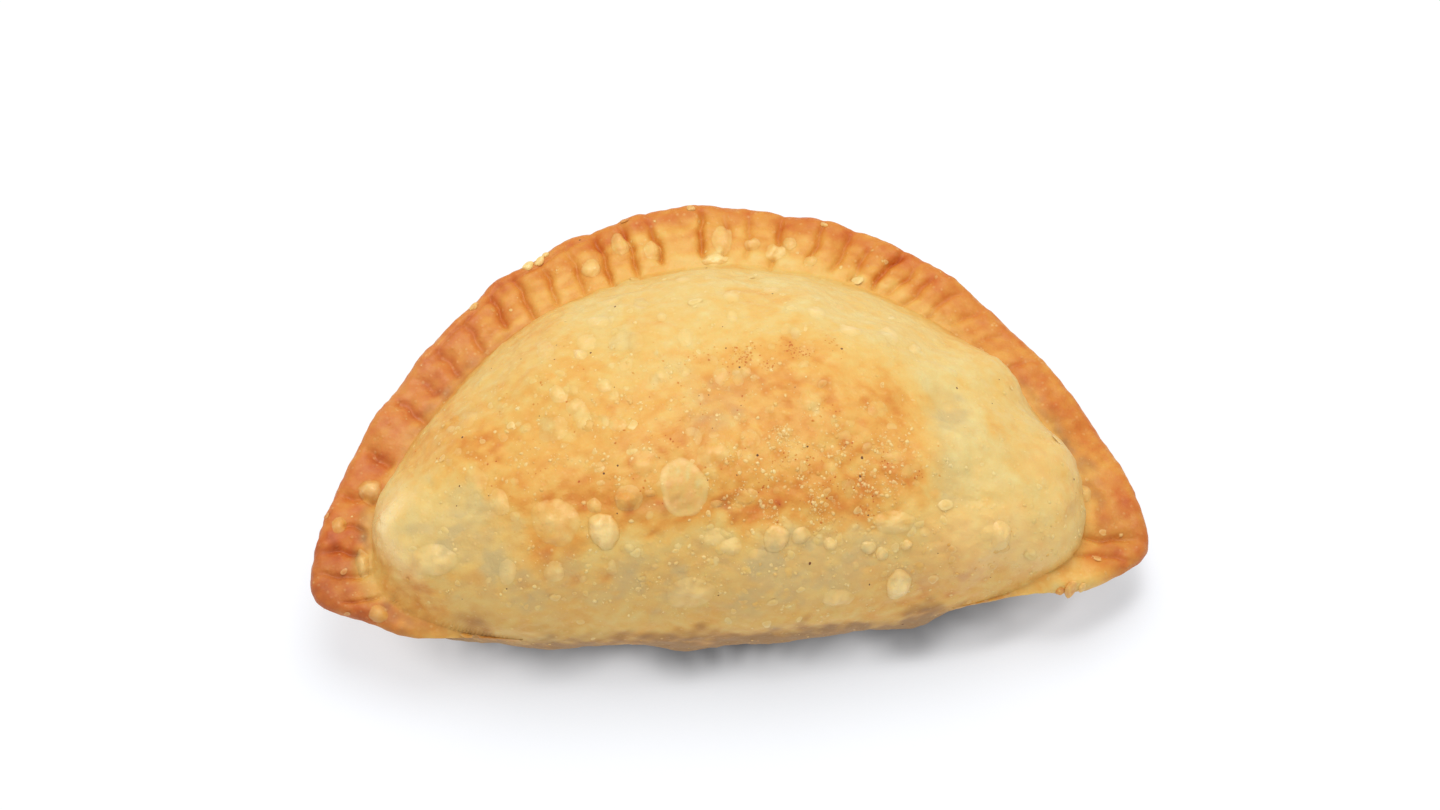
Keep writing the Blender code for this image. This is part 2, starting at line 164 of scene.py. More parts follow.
def smooth_skin(direction, v, side):
    """Points of a sheet without relief, and the shares of the belly and of the pressed rim in them. Height is
    rise (1 - share^fullness)^steepness, blended by a power mean with the rim's rounded thickness."""
    edge = distance_towards(edge_outline, direction)
    foot = np.minimum(distance_towards(foot_outline, direction), edge)
    wall = edge * np.sin(wall_turn)
    rimmed = smooth_step(edge - foot, 0.3 * (edge - wall), edge - wall)
    inner = np.minimum(foot, wall)
    share = np.clip(v - 1, 0, 1)
    dome = inner * np.sin(np.clip(v, 0, 1) * dome_turn) / np.sin(dome_turn)
    round_wall = edge * np.sin(wall_turn + share * (np.pi / 2 - wall_turn))
    flat_rim = inner + share * (edge - inner)
    out = np.where(v <= 1, dome, round_wall + rimmed * (flat_rim - round_wall))

    fullness = 2.2 + 0.6 * smooth_step(-np.sin(direction), 0, 0.8)
    steepness = 0.5 + 0.3 * smooth_step(np.sin(direction), 0.15, 0.85)
    raised = np.clip(1 - (out / np.maximum(foot, 1e-6)) ** fullness, 0, 1) ** steepness
    rounding = np.clip(1 - (edge - out) / rim_edge_radius, 0, 1)
    rim = rim_half_thickness * rimmed * np.sqrt(1 - rounding**2)
    belly = (top_rise if side > 0 else bottom_drop) * raised
    height = (belly**3 + rim**3) ** (1 / 3)
    x, y = out * np.cos(direction), belly_middle_y + out * np.sin(direction)
    on_belly = smooth_step(belly, 0, 5 * MM)
    on_rim = rimmed * np.sqrt(1 - rounding**2) * (1 - on_belly)
    return np.stack([x, y, side * height], -1), on_belly, on_rim, rimmed


def smooth_normal(direction, v, side):
    """Outward direction of the sheet without relief, from small steps along and across it."""
    step = 1e-4
    near = np.clip(v, 0.002, 2 - 1e-3)
    around = smooth_skin(direction + step, v, side)[0] - smooth_skin(direction - step, v, side)[0]
    outwards = smooth_skin(direction, near + step, side)[0] - smooth_skin(direction, near - step, side)[0]
    normal = unit(np.cross(outwards, around)) * side
    return np.where((v < 0.01)[..., None], np.array([0.0, 0.0, side]), normal)


# ---- Places on the face ----------------------------------
# The face is the pastry as it shows from the front, a set turn above its middle plane. A place on it is in
# millimetres: right of the middle, and up from the fold.
face_turn = np.radians(64)
face_axis = np.array([0, -np.cos(face_turn), np.sin(face_turn)])


def face_of(points):
    """Where points show on the face, in millimetres right of the middle and up from the fold."""
    up = points[..., 1] * np.sin(face_turn) + points[..., 2] * np.cos(face_turn)
    return points[..., 0] / MM, up / MM


searched_direction, searched_v = np.meshgrid(np.radians(np.arange(0, 360, 0.5)), np.linspace(0, 2, 201))
searched_points = smooth_skin(searched_direction, searched_v, 1)[0]
searched_x, searched_up = face_of(searched_points)


def nearest_on_face(x, up):
    """The searched direction and v whose point of the top sheet shows nearest to a place on the face."""
    nearest = np.argmin(np.hypot(searched_x - x, searched_up - up))
    return searched_direction.flat[nearest], searched_v.flat[nearest]


def place_on_face(x, up):
    """The point of the top sheet that shows at a place on the face."""
    return smooth_skin(*np.array(nearest_on_face(x, up))[:, None], 1)[0][0]


def under_face(x, up, start):
    """Directions and v of the top sheet's points that show at places on the face, by Newton's steps."""
    direction, v = start[0] + 0 * x, start[1] + 0 * x
    step = 1e-4
    for _ in range(8):
        here = np.stack(face_of(smooth_skin(direction, v, 1)[0]))
        turned = (np.stack(face_of(smooth_skin(direction + step, v, 1)[0])) - here) / step
        slid = (np.stack(face_of(smooth_skin(direction, v + step, 1)[0])) - here) / step
        gap = np.stack([x, up]) - here
        area = turned[0] * slid[1] - turned[1] * slid[0]
        area = np.where(np.abs(area) < 1e-3, 1e-3, area)
        direction = direction + np.clip((gap[0] * slid[1] - gap[1] * slid[0]) / area, -0.05, 0.05)
        v = np.clip(v + np.clip((turned[0] * gap[1] - turned[1] * gap[0]) / area, -0.1, 0.1), 0.02, 1.97)
    return direction, v


def patch(x, up, place, reach, sharpness=1.0):
    """A soft oval patch on the face: exp(-(distance^2)^sharpness), with distance in reaches."""
    gap = ((x - place[0]) / reach[0]) ** 2 + ((up - place[1]) / reach[1]) ** 2
    return np.exp(-(gap**sharpness))


# ---- Relief: filling and crimps --------------------------
# The filling pushes the dough into slow lumps and dents. The rim was pressed with a fork, closely over the
# top, in wide pinches down the left side and hardly at all on the right. The underside shows less of both.
under_lump_share = 0.5
under_crimp_share = 0.4
pad_height = 0.35 * MM
seam_depth = 0.45 * MM

# Each lump or dent: its place on the face, its reach and its height.
lumps = (
    (55, 17, 7, 2), (49, 31, 6, 1.6), (58, 5, 6, 0.8), (38, 14, 6.5, -1.8),
    (37, 27, 5, -1.3), (-44, 13, 8, -1.3), (-55, 12, 6, 0.9), (2, 21, 14, 0.9),
    (-20, 20, 12, 0.7), (-4, 8, 9, -0.9), (18, 5, 9, -0.7), (51, 19.5, 3.5, -0.35),
    (54, 8.6, 2.2, 0.35), (28.5, 9, 2.4, 0.45), (-12.3, 24.5, 2.4, 0.35), (-14.2, 48.8, 2.4, 0.4),
)
lump_places = [(place_on_face(x, up), reach, height) for x, up, reach, height in lumps]

# The fold's lower edge sags in bulges between the places where it is held: place along it, reach and height.
sag_y, sag_z = -5.5, -11
sags = (
    (-52, 5, 2.56), (-40, 4, -1.28), (-31, 5, 1.28), (-19, 4, -1.6), (-8, 6, 2.88),
    (6, 4, -1.28), (14, 4, 1.12), (21, 3.5, -1.12), (30, 5, 3.2), (41, 4, -1.28),
)
lump_places += [(np.array([x, sag_y, sag_z]) * MM, reach, height) for x, reach, height in sags]

# Folds in the face: middle, reach right and up, and depth. The toasted face sags over the wall by the fold.
creases = (
    ((-13, 15), (5, 1.2), 0.5),
    ((-0.5, 13.5), (4.5, 1.2), 0.5),
    ((40, 17), (1.2, 5), 0.35),
    ((37, 24), (1.2, 5), 0.3),
    ((44, 10), (5, 1.2), 0.25),
)

# Each crimp: its place along the edge from the right tail's tip, and its depth, in millimetres. Below: half
# width and slant by place.
crimp_marks = (
    (-8, 0.5), (-3, 1.1), (36, 0.35), (44, 0.3), (50, 0.4), (55, 0.45), (60, 0.6), (64, 0.7), (68, 1.2),
    (73, 0.7), (77.5, 0.7), (83, 0.9), (90.5, 0.9), (96.5, 0.5), (101.3, 0.7), (106, 1.3), (115.5, 1.35),
    (121, 1.1), (126.8, 1.15), (133, 0.7), (139, 0.9), (145, 0.8), (151, 1.0), (158, 0.7), (165, 1.25),
    (171, 0.7), (177, 1.25), (188, 1.2), (197, 0.7), (203, 0.7), (208, 0.8), (212.5, 0.7), (219, 0.5),
)
crimp_widths = ((0, 60, 110, 150, 165, 190, 200, 225), (1.0, 0.8, 0.85, 1.0, 1.9, 1.9, 0.8, 0.8))
crimp_slants = ((-10, 5, 40, 60, 115, 130, 150, 180, 200, 225), (4, 1, 0.5, 0, 0, -2.5, -5, -4, -5, -2))


def crimp_places():
    """Each crimp's place, half width, depth, slant, and where it starts and ends across the rim."""
    rng = np.random.default_rng(12)
    for at, depth in crimp_marks:
        start, end = rng.uniform(-0.15, 0.08), rng.uniform(0.7, 0.95)
        yield at, np.interp(at, *crimp_widths), depth, np.interp(at, *crimp_slants), start, end


def crimps(direction, share):
    """How deep the rim is pressed, and how near each point is to the bottom of a groove. A groove is a bell
    curve across with a sharp line in its middle, and fades where it starts and ends."""
    along = along_edge(direction) / MM
    pressed, line = np.zeros(share.shape), np.zeros(share.shape)
    for at, half, depth, slant, start, end in crimp_places():
        wander = 0.35 * np.sin(share * 7 + at) + 0.15 * np.sin(share * 17 + 2 * at)
        gap = np.abs(along - at - slant * (share - 0.4) - wander) / half
        reach = smooth_step(share, start, start + 0.18)
        reach = reach * (1 - 0.85 * smooth_step(share, end - 0.22, end + 0.08))
        pressed += depth * MM * reach * (0.75 * np.exp(-(gap**2)) + 0.45 * np.exp(-((gap / 0.38) ** 2)))
        line = np.maximum(line, reach * depth * np.exp(-((gap / 0.7) ** 2)))
    return pressed, line


crown_crimps = 62, 156
pad_rows = (0.14, 0.34, 0.56)


def pads(direction, share):
    """Nearness to the plump pads of dough squeezed up between neighbouring crimps of the crown, as ovals."""
    rng = np.random.default_rng(13)
    along, near = along_edge(direction) / MM, np.zeros(share.shape)
    marks = np.array(crimp_marks)[:, 0]
    for first, second in zip(marks, marks[1:]):
        if crown_crimps[0] < first < crown_crimps[1]:
            slant, pitch = np.interp(first, *crimp_slants), second - first
            for row in pad_rows:
                at = (first + second) / 2 + slant * (row - 0.4) + rng.uniform(-0.12, 0.12) * pitch
                up, size = row + rng.uniform(-0.05, 0.05), rng.uniform(0.4, 1.0) * (1 - 0.3 * row)
                gap = ((along - at) / (0.36 * pitch)) ** 2 + ((share - up) / 0.09) ** 2
                near = np.maximum(near, size * np.exp(-(gap**1.4)))
    return near


def lip_seam(direction, share, out):
    """Nearness to the line where the rim's two sheets part, a little inside the edge at the upper left: a
    bell curve 0.4 mm wide, 1.9 mm from the edge."""
    along, inside = along_edge(direction) / MM, (distance_towards(edge_outline, direction) - out) / MM
    shown = smooth_step(along, 122, 130) * (1 - smooth_step(along, 160, 170))
    return np.exp(-(((inside - 1.9) / 0.4) ** 2)) * shown * smooth_step(share, 0.5, 0.6)


def skin(direction, v, side, crimped=1):
    """Points of a sheet with relief at arrays of direction and v, and what the colours read: the sheet pushed
    along its normal by swells, lumps, wrinkles, creases and crimps, and then drooping at the right tail."""
    smooth, on_belly, on_rim, rimmed = smooth_skin(direction, v, side)
    normal = smooth_normal(direction, v, side)
    x, y, share = smooth[..., 0], smooth[..., 1], np.clip(v - 1, 0, 1)
    along = along_edge(direction)
    shift = 20 if side > 0 else 0
    relief = 0.45 * MM * waves(x, y, 34 * MM, 11 + shift) + 0.22 * MM * waves(x, y, 15 * MM, 12 + shift)
    for middle, reach, height in lump_places:
        gap = np.linalg.norm(smooth - middle, axis=-1) / (reach * MM)
        relief += height * MM * np.exp(-(gap**2))
    relief = relief * on_belly * (1 if side > 0 else under_lump_share)
    pillows = np.abs(grain(smooth, 9 * MM, 71)) ** 0.8 + 0.4 * np.abs(grain(smooth, 3.6 * MM, 75))
    relief += 0.16 * MM * (pillows - 1) * on_belly + 0.1 * MM * grain(smooth, 5 * MM, 73) * on_rim
    relief += (0.045 * grain(smooth, 2.6 * MM, 72) + 0.02 * grain(smooth, 1.5 * MM, 74)) * MM
    face_x, face_up = face_of(smooth)
    for middle, reach, depth in creases:
        bend = 0.8 * np.sin(face_x / 4)
        relief -= depth * crimped * MM * patch(face_x, face_up + bend, middle, reach) * (side > 0)

    pressed, line = crimps(direction, share)
    pressed, plump = pressed * crimped, pads(direction, share) * crimped
    relief += pad_height * plump * on_rim * (side > 0)
    seam = lip_seam(direction, share, np.hypot(x, y - belly_middle_y)) if side > 0 else np.zeros(x.shape)
    relief -= (pressed * (1 if side > 0 else under_crimp_share) + seam_depth * seam) * on_rim
    place = smooth + normal * relief[..., None]

    out = np.stack([np.cos(direction), np.sin(direction), 0 * direction], -1)
    rim_share = smooth_step(share, 0.3, 1) * smooth_step(on_rim + share, 0.2, 1)
    place -= out * (0.4 * pressed * rim_share)[..., None]
    swell = 0.5 * MM * waves(along, 0 * along, 24 * MM, 41) + 0.3 * MM * waves(along, 0 * along, 9 * MM, 42)
    place[..., 2] += swell * share * smooth_step(np.sin(direction), -0.5, 0.1)
    place[..., 2] -= tail_droop * smooth_step(x, droop_start, half_width)
    facts = dict(smooth=smooth, normal=normal, on_belly=on_belly, rimmed=rimmed, share=share,
                 line=line + 0.6 * seam, along=along, pillows=pillows, plump=plump)
    return place, facts


# ---- Browning --------------------------------------------
# Frying browns the thin pressed rim most, then a broad patch of the face that stood out of the oil least. The
# rest stays straw yellow, and the wall by the fold is damp and greyer, where the filling shows through.
raw_dough = 0.165
under_browning = 0.46

# Each patch: its middle on the face, its reach right and up, its sharpness, and how much it browns.
toasted = (
    (14, 22.5, 19.5, 14.5, 3, 0.27), (7, 12, 23, 3.6, 2.5, 0.12), (-10, 14, 15, 3, 1.5, 0.09),
    (3, 33, 9, 4, 1.5, 0.09), (-1, 38.7, 6, 1.8, 1.5, 0.15), (9.5, 37.6, 3.5, 2, 1.5, 0.13),
    (6, 34.5, 2, 2.5, 1.3, 0.1), (-28, 27, 22, 13, 1.8, 0.17), (-25, 17, 15, 6, 1.5, 0.13),
    (-8, 27, 9, 7, 1.5, 0.1), (-8, 21, 14, 8, 1.5, 0.05), (-14, 14.8, 5, 1.2, 1.5, 0.2),
    (-0.8, 13.3, 4.5, 1.4, 1.5, 0.24), (-21, 14.5, 5, 2.5, 1.5, 0.2), (35, 18, 3, 3, 1.5, 0.08),
    (31, 4, 14, 7, 1.5, 0.06), (-5, 12.8, 14, 2.2, 1.5, 0.06), (-24, 5.5, 5, 3, 1.3, 0.06),
    (38, 2, 7, 3, 1.3, 0.12), (40, -6, 12, 4, 1.3, 0.1), (1, 33, 6, 4, 1.3, 0.05),
    (-7, 19, 11, 4, 1.5, 0.07), (28, 13, 5, 4, 1.3, 0.08), (-42, 22, 5, 3.5, 1.3, 0.14),
    (-48, 30, 5, 5, 1.3, 0.13), (43, 38, 4, 3, 1.3, 0.12), (50, 32, 3, 4, 1.3, 0.09),
    (14, 35, 6, 3, 1.3, 0.07), (2, 35, 5, 3, 1.3, 0.06), (19, 15, 9, 4, 1.5, 0.05),
    (7, 46, 4.5, 3.5, 1.5, 0.14), (-30, 45, 7, 4, 1.2, 0.14), (-14, 42, 5, 3, 1.2, 0.08),
    (-42, 27, 5, 5, 1.2, 0.08), (-53, 24, 5, 4, 1.2, 0.14), (-57, 11, 4, 7, 1.2, 0.12),
    (-31, 12.5, 5, 5.5, 1.5, 0.17), (-28.4, 6.3, 2.6, 3.4, 2, 0.2), (-24.3, 3.4, 1.6, 1.5, 2, 0.15),
    (-33.8, 5, 1.5, 1, 2, 0.14), (-10.2, 11.4, 1.8, 0.8, 2, 0.06), (-52, 6, 6, 3, 1.3, 0.16),
    (-49, 1, 5, 4, 1.3, 0.09), (47, 5, 6, 3, 1.3, 0.09), (0, 0, 50, 8, 2.5, 0.11),
    (-57, 0, 8, 6, 1.3, 0.26), (-45, -7, 9, 4, 1.3, 0.24), (-28, -2, 3, 3, 1.2, 0.08),
    (36, -1, 5, 4, 1.4, 0.14), (49, -2, 7, 4, 1.3, 0.12), (28, -5, 6, 4, 1.3, 0.1),
    (44.5, 24, 2.6, 2.2, 1.3, 0.13), (51.5, 18.5, 4.5, 3.6, 2, 0.08), (57, 12, 4, 9, 1.5, 0.08),
    (-60.5, 13, 1.6, 5, 1.2, 0.35), (0, -12, 72, 4, 1.5, 0.42), (0.5, 21, 3.5, 3.5, 1.5, -0.12),
    (6.5, 29.5, 3, 3, 1.5, -0.14), (7, 14, 3, 2, 1.3, -0.07), (-21, 46, 4, 3, 1.2, -0.1),
    (18, 45.5, 7, 3.5, 1.3, -0.07), (9, 50.5, 9, 3, 1.3, -0.1), (42, 17, 4.5, 5.5, 1.3, -0.12),
    (40, 27.5, 4, 5, 1.3, -0.07), (-49, 16, 5, 4, 1.3, -0.08), (36, 34, 4, 4, 1.3, -0.07),
    (29, 42, 7, 4, 1.5, -0.05), (38, 30, 3.5, 9, 1.5, -0.05),
)

# Patches where the filling's damp shows through. The two at 37 right are painted shade in the valley
# between the lumps there, and the one with a negative amount on the wall is painted light.
damp_and_shading_patches = (
    (-1, 29.5, 4, 5, 1.5, 0.35), (-35, 10, 3.5, 3, 1.5, 0.25), (51, 20, 8, 6, 1.5, 0.2),
    (30, 3, 24, 8, 1.5, -0.1), (-44, 13, 5.5, 4, 1.5, 1), (-41, 6, 7, 4, 1.3, 0.8),
    (0, 2, 44, 6, 2, 0.55), (8, 5, 14, 3, 1.5, 0.3), (37, 16, 4, 7, 1.3, 0.75),
    (37, 27, 3, 5, 1.3, 0.55), (-6, 33, 3, 5, 1.3, 0.3), (60, 5, 2.5, 5, 1.5, 0.5),
)

# Dough stretched thin over the filling, which stays bright, with painted light where the left bulge and the
# wall by the fold turn away from the lamp.
stretched_and_lit_patches = (
    (-56, 11.5, 4.5, 7.5, 1.5, 0.8), (30, 3, 24, 8, 1.5, 0.18),
    (46, 3, 12, 6, 1.5, 0.35), (53, 14, 4, 7, 1.5, 0.2),
)

# Painted shade, dark brown: along the fold's lower edge and in the creases of the face.
fold_shade = ((-47, -7.5, 17, 4, 1.3, 0.75),)
crease_shade = (
    (-13.5, 14.3, 3.5, 1, 1.4, 0.45), (-0.8, 13.2, 4.5, 1.1, 1.4, 0.5),
)

# Stains on the tails' tips, on the face; and on the rim beside the belly, stains with painted shade of the
# belly by its foot: along the edge and share across, reach of both, and how dark.
tail_stains = (
    (-67, 3, 7, 7, 1.5, 0.2), (67, 3, 5, 6, 1.5, 0.14),
)
rim_stains_and_shade = (
    ((20, 0.22), (11, 0.16), 0.45), ((5, 0.30), (7, 0.12), 0.2),
    ((48, 0.05), (14, 0.14), 0.15), ((172, 0.05), (20, 0.13), 0.25),
    ((204, 0.22), (5, 0.12), 0.75), ((222, 0.25), (9, 0.3), 0.25),
    ((230, 0.6), (7, 0.6), 0.35),
)

# Browning of the rim. Each: millimetres along the edge from the right tail, and the browning at the belly's
# foot, half way across and at the lip.
rim_browning = (
    (-5, 0.38, 0.62, 0.70), (10, 0.28, 0.56, 0.60), (25, 0.40, 0.66, 0.60), (40, 0.50, 0.56, 0.60),
    (60, 0.34, 0.60, 0.62), (80, 0.24, 0.54, 0.64), (95, 0.20, 0.48, 0.62), (110, 0.24, 0.46, 0.62),
    (125, 0.32, 0.52, 0.63), (140, 0.40, 0.56, 0.64), (155, 0.53, 0.65, 0.68), (170, 0.64, 0.67, 0.67),
    (190, 0.52, 0.68, 0.70), (205, 0.30, 0.72, 0.76), (220, 0.36, 0.69, 0.80), (232, 0.44, 0.64, 0.73),
)

# Along the edge the rim's browning fades in and out between these places.
rim_ends = ((-18, -6), (232, 245))

# The rim is paler round one place along the edge.
pale_rim_middle, pale_rim_reach, pale_rim_amount = 172, 24, 0.1


def patches(x, up, table):
    """The sum of a table's patches at places on the face."""
    return sum(
        amount * patch(x, up, (right, height), (wide, tall), sharpness)
        for right, height, wide, tall, sharpness, amount in table
    )


def flecks(points, lengths, seed, low, high):
    """Spots where a pattern in two sizes passes from low to high."""
    coarse = grain(points, lengths[0] * MM, seed)
    return smooth_step(coarse + 0.5 * grain(points, lengths[1] * MM, seed + 1, 32), low, high)


def crust_colours(facts):
    """Browning; dampness, with painted shade and painted light; stains, with painted shade along the fold's
    lower edge, where the skin turns under, in the creases and by the belly's foot; and how far the dough is
    drawn thin, with painted light; each from 0 to about 1. Flecks make it flaky and spotted with damp."""
    smooth, on_belly = facts["smooth"], facts["on_belly"]
    bend = 1.8 * grain(smooth, 12 * MM, 81), 1.8 * grain(smooth, 12 * MM, 82)
    curl = 0.5 * grain(smooth, 3.5 * MM, 85), 0.5 * grain(smooth, 3.5 * MM, 86)
    mottle, fine = grain(smooth, 7 * MM, 83), grain(smooth, 2.4 * MM, 84, 32)
    x, up = face_of(smooth)
    x, up = x + bend[0] + curl[0], up + 0.6 * bend[1] + curl[1]
    turned = facts["normal"] @ face_axis
    facing = smooth_step(turned, -0.15, 0.25)
    brown = raw_dough + patches(x, up, toasted)
    brown = brown * (1 + 0.04 * mottle + 0.07 * fine) + 0.012 * mottle + 0.012 * fine
    brown -= 0.025 * (facts["pillows"] - 1)
    brown -= flecks(smooth, (4.5, 1.7), 91, 0.75, 1.15) * np.clip(0.4 * (brown - 0.12), 0, 0.08)
    under_brown = under_browning + 0.06 * mottle + 0.04 * fine
    browning = under_brown + (brown - under_brown) * facing
    spots = flecks(smooth, (7, 2.6), 93, -0.3, 1.0)
    damp_and_shading = patches(x, up, damp_and_shading_patches) * (0.55 + 0.9 * spots + 0.15 * fine)
    damp_and_shading = np.clip(damp_and_shading, 0, 1) * facing * on_belly

    share, place = facts["share"], facts["along"] / MM
    stretched_and_lit = patches(x, up, stretched_and_lit_patches) * (1 + 0.15 * mottle) * facing * on_belly
    paler = pale_rim_amount * np.exp(-(((place - pale_rim_middle) / pale_rim_reach) ** 2))
    stretched_and_lit += paler * facts["rimmed"] * (1 - on_belly)
    share = share + 0.04 * mottle * smooth_step(share, 0, 0.2)
    rim_places, *rim_tables = np.array(rim_browning).T
    foot, middle, lip = (np.interp(place, rim_places, table) for table in rim_tables)
    rim_brown = foot + (middle - foot) * smooth_step(share, 0, 0.4)
    rim_brown += (lip - middle) * smooth_step(share, 0.5, 0.85)
    # Painted shade: browner along the bottoms of the grooves and at the lip seam.
    rim_brown += 0.10 * facts["line"] - 0.15 * facts["plump"] + 0.03 * mottle + 0.03 * fine
    on_rim = smooth_step(1 - on_belly + 0.05 * mottle, 0.3, 0.85) * facts["rimmed"]
    on_rim = on_rim * smooth_step(place, *rim_ends[0]) * (1 - smooth_step(place, *rim_ends[1]))
    browning = browning + (rim_brown - browning) * on_rim

    # Painted shade: dark brown towards the fold's lower edge, where the skin turns under it, and in the
    # creases.
    stain_and_shade = smooth_step(-up, 5.8, 9.8) + patches(x, up, fold_shade)
    stain_and_shade = stain_and_shade * smooth_step(turned, -0.4, 0.05) + patches(x, up, crease_shade)
    stain_and_shade += 0.9 * patch(turned, up, (0.05, -9), (0.32, 7), 1.5)
    stains_and_shade = patches(x, up, tail_stains)
    for spot, reach, amount in rim_stains_and_shade:
        stains_and_shade = stains_and_shade + amount * patch(place, share, spot, reach) * (1 + 0.4 * fine)
    stain_and_shade = stain_and_shade * (0.75 + 0.15 * mottle + 0.1 * fine) * (1 - 0.6 * on_rim) + stains_and_shade * on_rim
    return np.clip(browning, 0, 1), damp_and_shading * (1 - on_rim), np.clip(stain_and_shade, 0, 1), np.clip(stretched_and_lit, 0, 1)


# ---- The skin's mesh -------------------------------------
# One closed surface: rings of the top sheet from its middle to the edge, then rings of the bottom sheet back
# to its middle. It lies flattened on the table, where the frame has its solid.
def lean_back(points):
    """The points with the middle plane leant onto the fold."""
    x, y, z = points[..., 0], points[..., 1], points[..., 2]
    return np.stack([x, y * np.cos(lean) - z * np.sin(lean), y * np.sin(lean) + z * np.cos(lean)], -1)


def lay_down(points):
    """The points leant back, flattened where they meet the table and set where the frame's solid is."""
    laid = lean_back(points) + set_back
    laid[..., 2] = np.maximum(laid[..., 2], 0)
    return laid


def ring_faces(outer, inner):
    """Triangles between two rings of point numbers. The inner has as many points as the outer, or half."""
    following = np.roll(inner, -1)
    if len(outer) == len(inner):
        corners = (outer, np.roll(outer, -1), following), (outer, following, inner)
    else:
        even, odd = outer[::2], outer[1::2]
        corners = (even, odd, inner), (odd, following, inner), (odd, np.roll(even, -1), following)
    return np.concatenate([np.stack(three, -1) for three in corners])


def fan(ring, point):
    """Triangles between a ring of point numbers and one point."""
    return np.stack([ring, np.roll(ring, -1), np.full(len(ring), point)], -1)


def even_directions(count):
    """Directions whose points on the outer edge are evenly spaced."""
    return np.interp(np.arange(count) * edge_run[-1] / count, edge_run, edge_outline[0])


def add_object(name, data):
    """An object of the scene from its data."""
    made = bpy.data.objects.new(name, data)
    bpy.context.scene.collection.objects.link(made)
    return made


def mesh_object(name, points, triangles, material, attributes):
    """A smooth-shaded object from arrays of points, triangles and named values at the points."""
    mesh = bpy.data.meshes.new(name)
    mesh.vertices.add(len(points))
    mesh.vertices.foreach_set("co", points.astype(np.float32).ravel())
    mesh.loops.add(triangles.size)
    mesh.loops.foreach_set("vertex_index", triangles.astype(np.int32).ravel())
    mesh.polygons.add(len(triangles))
    mesh.polygons.foreach_set("loop_start", np.arange(0, triangles.size, 3, dtype=np.int32))
    for label, values in attributes.items():
        layer = mesh.attributes.new(label, "FLOAT", "POINT")
        layer.data.foreach_set("value", values.astype(np.float32).ravel())
    mesh.update(calc_edges=True)
    mesh.validate()
    mesh.shade_smooth()
    mesh.materials.append(material)
    return add_object(name, mesh)


rim_columns = 960
top_rim_rows, top_belly_rows = 34, 100
under_rim_rows, under_belly_rows = 12, 34
sheets = []
for side, rim_rows, belly_rows, rim_count, belly_count in (
    (1, top_rim_rows, top_belly_rows, rim_columns, rim_columns // 2),
    (-1, under_rim_rows, under_belly_rows, rim_columns // 2, rim_columns // 4),
):
    belly_v = np.linspace(0, 1, belly_rows + 1)[:-1]
    rim_v = 1 + np.linspace(0, 1, rim_rows + 1)
    for count, places in ((belly_count, belly_v), (rim_count, rim_v)):
        points, facts = skin(*np.meshgrid(even_directions(count), places), side)
        sheets.append((points, *crust_colours(facts), *face_of(facts["smooth"]), facts["on_belly"]))

top_belly, top_rim, under_belly, under_rim = sheets
widest = np.concatenate([lean_back(sheet[0]).reshape(-1, 3) for sheet in (top_rim, under_rim)])
set_back = (np.array(pastry_low) + np.array(pastry_high) - widest.min(0) - widest.max(0)) / 2
set_back[2] = -(lean_back(under_belly[0])[..., 2].min() + flattening)

points, values, rings = [], [], []
point_count = 0
for sheet, rows in (
    (top_belly, range(1, top_belly_rows)),
    (top_rim, range(0, top_rim_rows + 1)),
    (under_rim, range(under_rim_rows - 1, -1, -1)),
    (under_belly, range(under_belly_rows - 1, 0, -1)),
):
    for row in rows:
        count = sheet[0].shape[1]
        points.append(lay_down(sheet[0][row]))
        values.append(np.stack([part[row] for part in sheet[1:]], -1))
        rings.append(point_count + np.arange(count))
        point_count += count
for sheet in (top_belly, under_belly):
    points.append(lay_down(sheet[0][0, :1]))
    values.append(np.stack([part[0, :1] for part in sheet[1:]], -1))
points, values = np.concatenate(points), np.concatenate(values)
triangles = []
edge_ring = top_belly_rows - 1 + top_rim_rows
for number, (one, two) in enumerate(zip(rings, rings[1:])):
    if number < edge_ring:
        triangles.append(ring_faces(two, one))
    else:
        triangles.append(ring_faces(one, two)[:, ::-1])
top_middle, under_middle = point_count, point_count + 1
triangles += [fan(rings[0], top_middle), fan(rings[-1], under_middle)[:, ::-1]]
triangles = np.concatenate(triangles)


def paint(red, green, blue):
    """A colour given as the eye reads it, 0 to 255, as the shader's linear values."""
    shares = np.array([red, green, blue]) / 255
    linear = np.where(shares <= 0.04045, shares / 12.92, ((shares + 0.055) / 1.055) ** 2.4)
    return (*linear, 1.0)


def new_material(name):
    """A material, its nodes, its links and its shader."""
    material = bpy.data.materials.new(name)
    material.use_nodes = True
    nodes = material.node_tree.nodes
    return material, nodes, material.node_tree.links, nodes["Principled BSDF"]


def set_inputs(node, values):
    """Values for a node's inputs, by name."""
    for label, value in values.items():
        node.inputs[label].default_value = value


def colour_ramp(nodes, steps):
    """A ramp node through steps of position and colour."""
    ramp = nodes.new("ShaderNodeValToRGB")
    first, *between, last = steps
    for element, (position, colour) in zip(ramp.color_ramp.elements, (first, last)):
        element.position = position
        element.color = colour
    for position, colour in between:
        ramp.color_ramp.elements.new(position).color = colour
    return ramp


# Browning, and the dough's colour there as linear red, green and blue.
crust_steps = (
    (0, 0.72, 0.56, 0.216), (0.1, 0.715, 0.503, 0.167), (0.2, 0.725, 0.458, 0.122),
    (0.3, 0.72, 0.403, 0.09), (0.4, 0.705, 0.352, 0.067), (0.5, 0.66, 0.28, 0.042),
    (0.6, 0.61, 0.214, 0.027), (0.7, 0.575, 0.158, 0.017), (0.8, 0.5, 0.1, 0.008), (1, 0.3, 0.04, 0.003),
)


